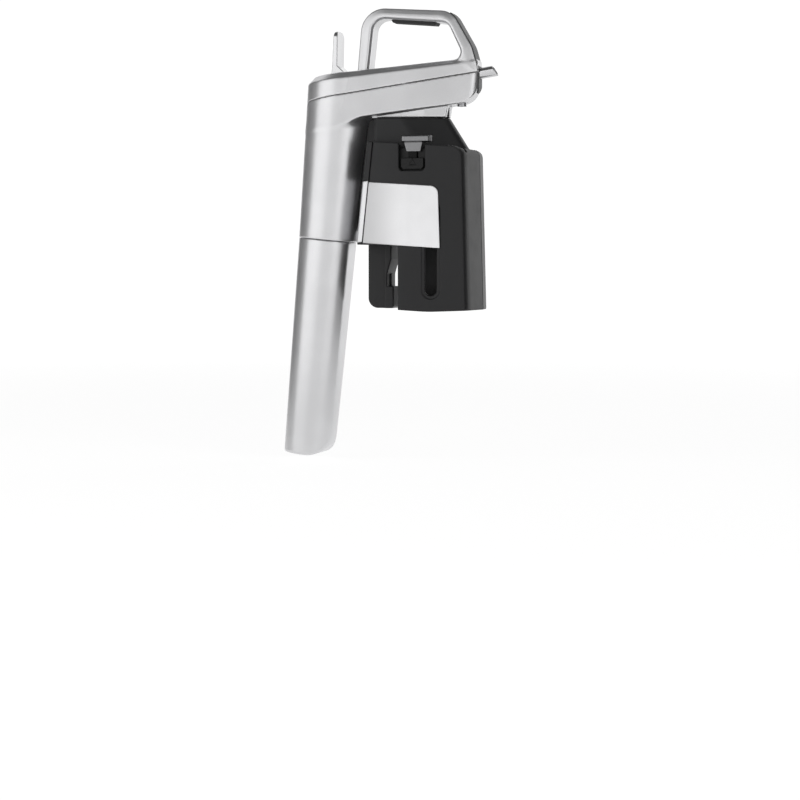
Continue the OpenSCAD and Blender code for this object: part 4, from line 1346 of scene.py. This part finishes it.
@dataclass
class BaseCore(Piece):
    """The black block between the clamp arms, with the rail's channel and the needle's guide."""

    top: float = 19.6
    front: Triple = (3.5, 12.9, 4.9)
    plan: tuple[Pair, ...] = ((-32.6, 12.2), (-30.8, 14.2), (-4.0, 14.2), (6.0, 10.4), (14.6, 3.3))
    nose_r: float = 6.0
    inset: float = 3.6
    floor: float = -43.0
    back_thick: float = 3.1
    knuckle_r: float = 2.6
    knuckles: tuple[Pair, ...] = ((-30.0, -27.2), (-23.6, -20.8), (-2.6, 0.4), (4.2, 7.0))
    coil_rooms: tuple[Pair, ...] = ((-27.15, -23.65), (0.45, 4.15))
    coil_r: float = 3.1
    bore: float = 2.55
    seat_r: float = 13.7
    neck_r: float = 16.2
    screw_x: Pair = (-16.0, -8.0)
    screw_r: float = 1.2

    def head(self) -> Solid:
        """The part that stands up between the arms, with a rounded nose that leans back."""
        x0, x1, z0 = self.front
        side = side_shape([(-50, 0), (-50, self.top), (x0, self.top), (x1, z0), (14.4, 3.6), (14.4, 0)])
        lean = math.atan((x1 - x0) / (self.top - z0))
        c, s = math.cos(lean), math.sin(lean)
        nose = [(-60.0, -50.0), (-20.0, -15.5), *arc((-self.nose_r, 0.0), self.nose_r, range(-58, 59, 8)),
                (-20.0, 15.5), (-60.0, 50.0)]
        leant = Solid(lambda x, y, z: polygon_distance((x - x1) * c + (z - z0) * s, y, nose))
        return plan_shape(both_sides(self.plan)).rounded_and(side, 0.8).rounded_and(leant, 0.8)

    def block(self) -> Solid:
        """The head, the block inside the arms and the back across them."""
        block = PLAN.sides().grown(-self.inset).rounded_and(PLAN.back().grown(-1.0), 0.6)
        block = block.rounded_and(box((-60, -30, self.floor), (-18.6, 30, 6.0)), 0.6)
        back = PLAN.sides().rounded_and(PLAN.back(), 1.0).rounded_and(PLAN.near_back(self.back_thick), 0.4)
        back = back.rounded_and(PLAN.below_top().grown(-0.2), 0.5)
        back = back.rounded_and(half_space(0.0, -1.0, -self.floor), 0.4)
        return self.head() | block | back

    def side_parts(self, core: Solid, side: int) -> Solid:
        """A core with one side's hinge knuckles and their lugs."""
        for low, high in self.knuckles:
            core = core | PLAN.hinge(self.knuckle_r, low, high, side=side)
            lug = box((low, 6.0, 0.5), (high, PLAN.hinge_y, 4.0))
            core = core | (lug if side > 0 else lug.mirrored())
        return core

    def side_rooms(self, core: Solid, side: int) -> Solid:
        """A core without one side's room for the release slide's lug and for the hinge's coils."""
        well = box((-12.5, 15.4, -4.4), (-8.7, 19.4, 5.8))
        core = core - (well if side > 0 else well.mirrored())
        for low, high in self.coil_rooms:
            core = core - PLAN.hinge(self.coil_r, low, high, 0.0, side)
        return core

    def build(self) -> None:
        """Makes the core."""
        cheek = box((-19.0, 10.0, 0.5), (-3.2, 19.0, 4.5), 0.3)
        cheek = cheek | box((-19.0, 16.5, -8.0), (-3.2, 19.0, 4.6), 0.3)
        core = self.block() | cheek | cheek.mirrored()
        for side in (1, -1):
            core = self.side_parts(core, side)
        core = core - box((-28.7, -8.3, -60), (-23.4, 8.3, 40)) - box((-60, -4.3, -60), (-20, 4.3, 40))
        core = core - rod(2, (0, 0, 0), self.bore, -60, 60) - rod(2, (0, 0, 0), self.seat_r, -2.0, 2.5)
        core = core - rod(2, (0, 0, 0), self.neck_r, -60.0, 0.0, 0.0)
        for x in self.screw_x:
            core = core - rod(2, (x, 0, 0), self.screw_r, 14.6, 25.0)
        for side in (1, -1):
            core = self.side_rooms(core, side)
        core = core - (PLAN.sides().grown(0.5) & PLAN.near_back(RearTrim.lip) & band(2, -41.7, -11.6))
        obj = self.mesher.from_solid("base_core_block", core, (-41, -22.8, -43.4), (14.8, 22.8, 20.0), 0.45)
        self.add(obj, "base_black", "base", ["base_core"])


@dataclass
class RearTrim(Piece):
    """Two bright strips that wrap the base's rear edges."""

    lip: float = 0.9
    wrap: float = 3.05
    thick: float = 0.8
    low: float = 38.0
    top: float = -8.3
    rail_half: float = 5.05

    def build(self) -> None:
        """Makes both strips."""
        shell = PLAN.sides().grown(self.thick).rounded_and(PLAN.back(), 0.9)
        shell = shell.rounded_and(PLAN.near_back(self.wrap), 0.12)
        shell = shell - (PLAN.sides().grown(0.02) & PLAN.back(self.lip))
        shell = shell.rounded_and(half_space(-0.1, 1.0, self.top), 0.12)
        shell = shell.rounded_and(half_space(0.1, -1.0, self.low), 0.12)
        shell = shell - band(1, -self.rail_half, self.rail_half)
        obj = self.mesher.from_solid("rear_trim_strips", shell, (-41, -23.4, -42.4), (-30, 23.4, -10.6), 0.3)
        self.add(obj, "trim_silver", "base", ["rear_trim"])


@dataclass
class ClampArms(SidedPiece):
    """The two shells that close round the bottle's neck, each with a bare plate and a jaw."""

    knuckles: tuple[Pair, ...] = ((-26.9, -23.9), (0.7, 3.9))
    rooms: tuple[Pair, ...] = ((-30.3, -26.9), (-23.9, -20.5), (-2.9, 0.7), (3.9, 7.3))
    neck_r: float = 15.0
    slot_x: float = -1.0
    slot_r: float = 3.1
    slot_z: Pair = (-65.1, -26.0)
    slot_rim: float = 1.6
    slot_rim_deep: float = 0.55

    def shell(self) -> Solid:
        """The left arm."""
        outer = PLAN.tilted(PLAN.sides().rounded_and(PLAN.front_walls(), 0.7))
        x1, x0 = PLAN.front + 5, -30.75
        slope = rising(PLAN.arm_top[1])
        line = [(x0, PLAN.arm_top[0] - x0 * slope), (x1, PLAN.arm_top[0] - x1 * slope), (x1, -75.1),
                (-17.8, -76.6), (-17.8, -40.0), (-36.65, -42.0)]
        front = PLAN.tilted(PLAN.front_walls())
        edge = front.rounded_and(PLAN.below_top(), 4.6).rounded_and(half_space(-0.06, -1.0, 76.2), 3.0)
        arm = outer.rounded_and(side_shape(line), 0.7).rounded_and(edge, 0.3) - PLAN.inner()
        arm = one_side(arm, 0.25)
        for low, high in self.knuckles:
            arm = arm | PLAN.hinge(2.6, low, high) | box((low, PLAN.hinge_y, 1.0), (high, 21.4, 5.0))
        for low, high in self.rooms:
            arm = arm - PLAN.hinge(3.0, low, high, 0.0)
        return arm - PLAN.hinge(1.25, -40, 20)

    def window(self) -> Solid:
        """The opening over the release slide, with slanted lower corners."""
        return side_shape([(-17.3, 40.0), (-17.3, -5.4), (-15.9, -7.0), (-5.2, -7.0), (-3.8, -5.4),
                           (-3.8, 40.0)])

    def slot(self, extra: float) -> Solid:
        """The long slot with round ends, wider by that much all round."""
        low, high = self.slot_z

        def fn(x: Array, y: Array, z: Array) -> Array:
            return np.hypot(x - self.slot_x, z - np.clip(z, low, high)) - self.slot_r - extra + 0 * y

        return Solid(fn)

    def cut_shell(self) -> Solid:
        """The left arm with its window, its slot and the neck's room."""
        arm = self.shell().rounded_cut(self.window(), 0.35).rounded_cut(self.slot(0.0), 0.25)
        rim = PLAN.half - self.slot_rim_deep
        arm = arm.rounded_cut(self.slot(self.slot_rim) & Solid(lambda x, y, z: rim - y + 0 * x + 0 * z), 0.2)
        return arm.rounded_cut(rod(2, (0, 0, 0), self.neck_r + 0.5, -200.0, 200.0, 0.0), 0.2)

    def plate(self) -> Solid:
        """The left plate."""
        outline = [(-32.9, -12.2), *fillet((-30.0, -12.2), (2.8, -14.6), (3.8, -44.8), 4.0), (3.8, -44.8),
                   (-36.3, -42.2)]
        skin = side_shape(outline).rounded_and(PLAN.sides().grown(0.8), 0.2)
        return one_side(skin - PLAN.sides().grown(0.02), 2.0)

    def jaw(self) -> Solid:
        """The left jaw."""
        jaw = PLAN.inner(0.02).rounded_and(box((-16.6, 1.4, -75.0), (43.0, 41.0, -68.6)), 0.4)
        return jaw.rounded_cut(rod(2, (0, 0, 0), self.neck_r, -300.0, 300.0, 0.0), 0.4)

    def build(self) -> None:
        """Makes both arms with their plates and jaws."""
        self.build_sides((
            SideForm("arm_shell", self.cut_shell(), (-38, 0, -77.5), (22, 24, 9), 0.45, "arm_black",
                     "clamp_arm"),
            SideForm("cover_plate_sheet", self.plate(), (-38, 18, -45.5), (5, 24, -11.5), 0.3, "plate_silver",
                     "cover_plate"),
            SideForm("neck_jaw", self.jaw(), (-17.4, 1, -75.6), (20, 22, -68), 0.4, "rubber_black",
                     "neck_pad"),
        ), "clamp")


@dataclass
class ReleaseSlides(SidedPiece):
    """A button on each arm, with the metal hook over the arm's edge."""

    button_line: tuple[Pair, ...] = ((-16.3, -0.7), (-16.3, -5.0), (-15.2, -6.2), (-6.0, -6.2), (-4.9, -5.0),
                                     (-4.9, -0.7))
    button_y: Pair = (20.1, 21.5)
    mark_at: Pair = (-10.6, -3.2)
    mark_r: float = 1.9
    mark_line: float = 0.22
    stem_line: tuple[Pair, ...] = ((-13.4, 2.4), (-6.4, 2.4), (-5.0, 8.0), (-15.0, 8.0))
    stem_y: Pair = (19.25, 21.85)
    bar_at: Triple = (-8.4, 21.85, 8.6)
    bar_half: Triple = (7.6, 2.6, 1.7)
    bar_bevel: Pair = (1.0, 0.5)
    strap_line: tuple[Pair, ...] = ((-12.6, -5.6), (-8.6, -5.6), (-8.6, 3.4), (-12.6, 3.4))

    def button(self) -> Solid:
        """The left button with its raised triangle."""
        face = side_shape(self.button_line).rounded_and(band(1, *self.button_y), 0.3)
        corners = arc(self.mark_at, self.mark_r, (90, -30, -150))

        def mark(x: Array, y: Array, z: Array) -> Array:
            return np.abs(polygon_distance(x, z, corners)) - self.mark_line

        return face | Solid(mark).rounded_and(band(1, 21.0, 21.75), 0.08)

    def hook(self) -> Solid:
        """The left metal hook: a bar with bevelled ends on a stem that narrows downwards."""
        stem = side_shape(self.stem_line).rounded_and(band(1, *self.stem_y), 0.4)
        at, half = self.bar_at, self.bar_half

        def bar(x: Array, y: Array, z: Array) -> Array:
            out = np.clip((y - at[1]) / half[1], 0, 1)
            a = np.abs(x - at[0]) - (half[0] - self.bar_bevel[0] * out)
            b = np.abs(z - at[2]) - (half[2] - self.bar_bevel[1] * out)
            c = np.abs(y - at[1]) - half[1]
            return round_max(round_max(a, b, 0.35), c, 0.35)

        return stem.filleted_or(Solid(bar), 0.5)

    def spine(self) -> Solid:
        """The dark strap that joins the left button to the hook, with the lug that its spring presses."""
        strap = side_shape(self.strap_line).rounded_and(band(1, self.stem_y[0], self.button_y[0]), 0.1)
        return strap | box((-12.1, 16.0, -4.0), (-9.1, 19.6, 0.0), 0.2)

    def build(self) -> None:
        """Makes both slides."""
        left, right = -16.6, -0.4
        self.build_sides((
            SideForm("button_face", self.button(), (left, 19.8, -6.5), (right, 22.0, -0.4), 0.16,
                     "base_black", "release_button"),
            SideForm("hook_bar", self.hook(), (left, 19.0, 2.1), (right, 24.7, 10.6), 0.2, "latch_steel",
                     "latch_tab"),
            # The strap is painted near black: its own black plus painted shade of the gap between hook and
            # button.
            SideForm("hook_strap", self.spine(), (left, 15.8, -5.9), (right, 20.4, 3.7), 0.2, "recess_black",
                     "latch_tab"),
        ), "release")


@dataclass(frozen=True)
class Coil:
    """One upright coil spring of round wire, in millimetres."""

    name: str
    node: str
    body: str
    joint: str
    centre: Pair
    ends: Pair
    radius: float
    wire: float
    turns: float
    travel: float

    @property
    def kept(self) -> float:
        """The share of its length that is left when it is pressed."""
        length = abs(self.ends[1] - self.ends[0])
        return (length - self.travel) / length

    def mesh(self, around: int = 8, per_turn: int = 28) -> tuple[Array, list[tuple[int, ...]]]:
        """The wire's points and faces, with half a flat turn at both ends.

        Args:
            around: Points round the wire.
            per_turn: Points along each turn.

        Returns:
            The points in millimetres, and the faces.
        """
        low, high = min(self.ends) + self.wire / 2, max(self.ends) - self.wire / 2
        steps = int(self.turns * per_turn)
        points, faces = [], []
        for i in range(steps + 1):
            a = 2 * math.pi * i / per_turn
            rise = min(1.0, max(0.0, (i / per_turn - 0.5) / (self.turns - 1.0)))
            for k in range(around):
                b = 2 * math.pi * k / around
                r = self.radius - self.wire / 2 + self.wire / 2 * math.cos(b)
                points.append((self.centre[0] + r * math.cos(a), self.centre[1] + r * math.sin(a),
                               low + (high - low) * rise + self.wire / 2 * math.sin(b)))
        for i in range(steps):
            faces += [(i * around + k, i * around + (k + 1) % around, (i + 1) * around + (k + 1) % around,
                       (i + 1) * around + k) for k in range(around)]
        faces += [tuple(range(around))[::-1], tuple(steps * around + k for k in range(around))]
        return np.array(points), faces


@dataclass
class CoilSprings(Piece):
    """The small springs at the valve and the release slides."""

    release_x: float = -10.6
    release_y: float = 17.1

    def coils(self) -> list[Coil]:
        """The valve's spring and the two slides' springs."""
        coils = [Coil("valve_coil", "valve_spring", "carriage", "valve_slide", (-45.6, 0.0), (31.05, 33.95),
                      radius=3.15, wire=0.5, turns=3.5, travel=1.5)]
        for side, sign in (("right", -1), ("left", 1)):
            slide = side + "_release"
            coils.append(Coil(slide + "_coil", slide + "_spring", "base", slide + "_slide",
                              (self.release_x, sign * self.release_y), (5.7, 0.1),
                              radius=1.28, wire=0.38, turns=7.0, travel=2.5))
        return coils

    def build(self) -> None:
        """Makes the coils and puts each on the body that it rides on."""
        for coil in self.coils():
            points, faces = coil.mesh()
            obj = self.mesher.make(coil.name, points * MM, faces)
            self.mesher.face_out(obj)
            self.add(obj, "steel", coil.body, [coil.node])
            coil.kept
            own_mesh(obj)


@dataclass
class GripPad(Piece):
    """The soft pad under the handle's bar, with grooves along it."""

    bar: tuple[Pair, Pair] = ((-34.2, 69.3), (3.2, 66.1))
    rear: float = 8.2
    front: float = 5.5
    drop: float = 1.3
    sunk: float = 0.4
    slant: float = 0.9
    half: float = 4.4
    groove_y: Triple = (-2.2, 0.0, 2.2)
    groove_r: float = 0.45
    groove_inset: float = 1.5

    def build(self) -> None:
        """Makes the pad."""
        (xa, za), (xb, zb) = self.bar
        run = (zb - za) / (xb - xa)
        x0, z0, length = xa + self.rear, za + self.rear * run, xb - xa - self.rear - self.front
        c, s = 1 / math.hypot(1, run), run / math.hypot(1, run)

        def local(solid: Solid) -> Solid:
            return Solid(lambda x, y, z: solid((x - x0) * c + (z - z0) * s, y, (z - z0) * c - (x - x0) * s))

        line = [(0.0, self.sunk), (self.slant, -self.drop), (length - self.slant, -self.drop),
                (length, self.sunk)]
        pad = side_shape(line).rounded_and(band(1, -self.half, self.half), 0.7)
        for y in self.groove_y:
            groove_end = length - self.groove_inset
            pad = pad - rod(0, (0, y, -1.5), self.groove_r, self.groove_inset, groove_end, 0.2)
        lo, hi = (-26.6, -4.6, 63.6), (-1.6, 4.6, 69.8)
        obj = self.mesher.from_solid("grip_pad_soft", local(pad), lo, hi, 0.25)
        self.add(obj, "rubber_black", "carriage", ["grip_pad"])


# --------------------------------------------------------------------------------------------------
# Studio
# --------------------------------------------------------------------------------------------------


@dataclass(frozen=True)
class Lamp:
    """One soft light that looks at the object, placed from the camera's side of it."""

    name: str
    azimuth: float
    elevation: float
    distance: float
    size: Pair
    power: float


@dataclass(frozen=True)
class Card:
    """One plain upright card, out of the picture, that keeps the bright floor off the metal's edge."""

    name: str
    azimuth: float
    distance: float
    size: Pair
    tone: float


@dataclass(frozen=True)
class Studio:
    """The floor, the lights and the camera of the photograph. Angles are in degrees, lengths in metres."""

    azimuth: float = 15.0
    focal_px: float = 2114.0
    picture_px: float = 800.0
    sensor_mm: float = 36.0
    distance: float = 1.058
    right_offset: float = 0.0217
    height: float = -0.051
    tilt: float = 3.765
    middle_x: float = -0.028
    middle_z: float = -0.035
    floor_z: float = -0.152
    floor_reach: float = 8.0
    floor_front: float = -6.0
    bend_from: float = 2.2
    bend_r: float = 1.5
    paper_white: float = 1.33
    air: float = 0.12
    lamps: tuple[Lamp, ...] = (
        Lamp("box_left", -55, 5, 1.4, (1.6, 1.9), 10.5),
        Lamp("fill_front", -4, 4, 1.8, (1.3, 1.9), 4.6),
        Lamp("box_right", 34, 5, 1.6, (0.9, 1.9), 6.3),
        Lamp("rim_right", 124, 4, 1.5, (0.6, 1.9), 3.0),
    )
    cards: tuple[Card, ...] = (
        Card("card_right", 80, 0.32, (0.36, 0.42), 0.08),
        Card("card_left", -122, 0.8, (0.86, 0.7), 0.55),
    )

    def floor(self) -> None:
        """Lays a plain pale floor that runs up into a backdrop."""
        line = [(self.floor_front, 0.0), (self.bend_from, 0.0)]
        line += arc((self.bend_from, self.bend_r), self.bend_r, range(-84, 1, 6))
        line += [(self.bend_from + self.bend_r, self.floor_reach)]
        points = [(w, d, self.floor_z + h) for d, h in line for w in (-self.floor_reach, self.floor_reach)]
        faces = [(2 * i, 2 * i + 1, 2 * i + 3, 2 * i + 2) for i in range(len(line) - 1)]
        obj = Mesher.make("studio_sweep", points, faces)
        obj.rotation_euler = (0, 0, math.radians(self.azimuth))
        obj.data.materials.append(self.paper())
        obj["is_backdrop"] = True

    def paper(self) -> bpy.types.Material:
        """The floor's finish: pale paper that the camera, metal and clear things see as white.

        Returns:
            The material.
        """
        mat = Shader("studio_paper")
        tone = 0.94 + mat.noise(mat.place, 220.0, 3.0) * 0.02
        mat.set(Base_Color=tone.mix((0.9, 0.9, 0.9), (1.0, 1.0, 1.0)), Roughness=0.9)
        white = mat.node("ShaderNodeEmission", {}, {"Color": (1.0, 1.0, 1.0), "Strength": self.paper_white})
        rays = [mat.node("ShaderNodeLightPath", {}, {}, kind)
                for kind in ("Is Camera Ray", "Is Glossy Ray", "Is Transmission Ray")]
        near = mat.node("ShaderNodeVectorMath", {"operation": "LENGTH"}, {0: mat.place}, 1)
        seen = (rays[0] + rays[1] + rays[2]) * near.ramp(0.4, 2.0, 0.67, 0.76)
        both = mat.node("ShaderNodeMixShader", {}, {0: seen, 1: Sock(mat, mat.main.outputs[0]), 2: white})
        mat.tree.links.new(both.socket, mat.out.inputs["Surface"])
        return mat.material

    def light(self, lamp: Lamp) -> None:
        """Adds one soft light."""
        data = bpy.data.lights.new(lamp.name, "AREA")
        data.shape, data.energy = "RECTANGLE", lamp.power
        data.size, data.size_y = lamp.size
        obj = bpy.data.objects.new(lamp.name, data)
        a, e = math.radians(self.azimuth + lamp.azimuth), math.radians(lamp.elevation)
        aim = Vector((self.middle_x, 0.0, self.middle_z))
        towards = Vector((math.sin(a) * math.cos(e), -math.cos(a) * math.cos(e), math.sin(e)))
        obj.location = aim + lamp.distance * towards
        obj.rotation_euler = (aim - obj.location).to_track_quat("-Z", "Y").to_euler()
        bpy.context.scene.collection.objects.link(obj)
        obj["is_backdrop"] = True

    def stand(self, card: Card) -> None:
        """Stands one card on the floor."""
        a = math.radians(self.azimuth + card.azimuth)
        mid = Vector((self.middle_x, 0.0, 0.0)) + card.distance * Vector((math.sin(a), -math.cos(a), 0.0))
        along = Vector((math.cos(a), math.sin(a), 0.0)) * card.size[0] / 2
        low, high = Vector((0, 0, self.floor_z)), Vector((0, 0, self.floor_z + card.size[1]))
        corners = (mid - along + low, mid + along + low, mid + along + high, mid - along + high)
        obj = Mesher.make(card.name, [tuple(v) for v in corners], [(0, 1, 2, 3)])
        mat = Shader(card.name)
        mat.set(Base_Color=(card.tone, card.tone, card.tone), Roughness=0.9)
        obj.data.materials.append(mat.material)
        obj.visible_camera = False
        obj.visible_diffuse = False
        obj.visible_shadow = False
        obj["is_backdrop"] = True

    def world(self) -> None:
        """Sets an even grey-white surround."""
        world = bpy.data.worlds.new("studio_air")
        bpy.context.scene.world = world
        world.use_nodes = True
        back = world.node_tree.nodes["Background"]
        back.inputs[0].default_value = (1.0, 1.0, 1.0, 1.0)
        back.inputs[1].default_value = self.air

    def camera(self) -> None:
        """Sets the camera that the photograph gives."""
        data = bpy.data.cameras.new("camera_main")
        data.sensor_fit, data.sensor_width = "HORIZONTAL", self.sensor_mm
        data.lens = self.focal_px / self.picture_px * self.sensor_mm
        data.clip_start, data.clip_end = 0.05, 60.0
        obj = bpy.data.objects.new("camera_main", data)
        a = math.radians(self.azimuth)
        right, back = Vector((math.cos(a), math.sin(a), 0)), Vector((math.sin(a), -math.cos(a), 0))
        obj.location = back * self.distance - right * self.right_offset + Vector((0, 0, self.height))
        obj.rotation_euler = (math.radians(90 - self.tilt), 0, a)
        bpy.context.scene.collection.objects.link(obj)
        bpy.context.scene.camera = obj
        obj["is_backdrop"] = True

    def build(self) -> None:
        """Builds the whole studio."""
        self.floor()
        for lamp in self.lamps:
            self.light(lamp)
        for card in self.cards:
            self.stand(card)
        self.world()
        self.camera()
        view = bpy.context.scene.view_settings
        view.view_transform = "Standard"


@dataclass(frozen=True)
class KeptNodes:
    """CAD pieces that are shown as they are, and their finishes. Those that aren't named are plain steel."""

    rubber_black: tuple[str, ...] = ("mouth_pad", "spout_seal", "needle_seal", "capsule_seal", "plunger_seal",
                                     "cup_seal")
    screw_steel: tuple[str, ...] = ("nose_screw", "rail_screws", "cover_screws", "base_screws")
    liner_grey: tuple[str, ...] = ("rail_liners",)
    needle_steel: tuple[str, ...] = ("needle",)
    capsule_steel: tuple[str, ...] = ("gas_capsule",)
    brass: tuple[str, ...] = ("valve_body", "regulator_body", "regulator_piston")

    def finish(self, finishes: dict[str, bpy.types.Material], replaced: set[str]) -> None:
        """Gives every CAD piece that is still shown its finish.

        Args:
            finishes: The finishes by name.
            replaced: The pieces that other meshes stand for.
        """
        by_node = {node: f.name for f in fields(self) for node in getattr(self, f.name)}
        for obj in [o for o in bpy.data.objects if o.type == "MESH"]:
            node = self.node_of(obj)
            if node is None or node in replaced:
                continue
            mat = finishes[by_node.get(node, "steel")]
            for slot in obj.material_slots:
                slot.link = "OBJECT"
                slot.material = mat
            LOG.info("kept %s as %s", obj.name, mat.name)

    @staticmethod
    def node_of(obj: bpy.types.Object) -> Optional[str]:
        """The CAD piece that an object belongs to."""
        names = set(frame["nodes"])
        base = obj.name.split(".")[0]
        for name in (base, obj.parent.name.split(".")[0] if obj.parent else ""):
            if name in names:
                return name
        return None


def note_size(stage: str) -> None:
    global SIZES
    lo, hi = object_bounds()
    SIZES[stage] = [list(lo), list(hi)]


SIZES: dict[str, list[list[float]]] = {"start": [list(CAD_BOX[0]), list(CAD_BOX[1])]}


def main() -> None:
    """Builds every piece in order."""
    logging.basicConfig(level=logging.INFO, format="%(name)s: %(message)s")
    finishes = {name: f.build() for name, f in FINISHES.items()}
    mesher = Mesher()
    replaced: set[str] = set()
    for kind in (BodyCasting, TopCover, CapsuleCup, Trigger, FrontStrips, Spout, GripPad, Rail, BaseCore,
                 RearTrim, ClampArms, ReleaseSlides, CoilSprings):
        piece = kind(mesher, finishes)
        piece.build()
        replaced |= piece.replaced
        for obj in piece.made:
            LOG.info("%s: %d faces", obj.name, len(obj.data.polygons))
    KeptNodes().finish(finishes, replaced)
    Studio().build()
    note_size("end")


if __name__ == "__main__":
    main()
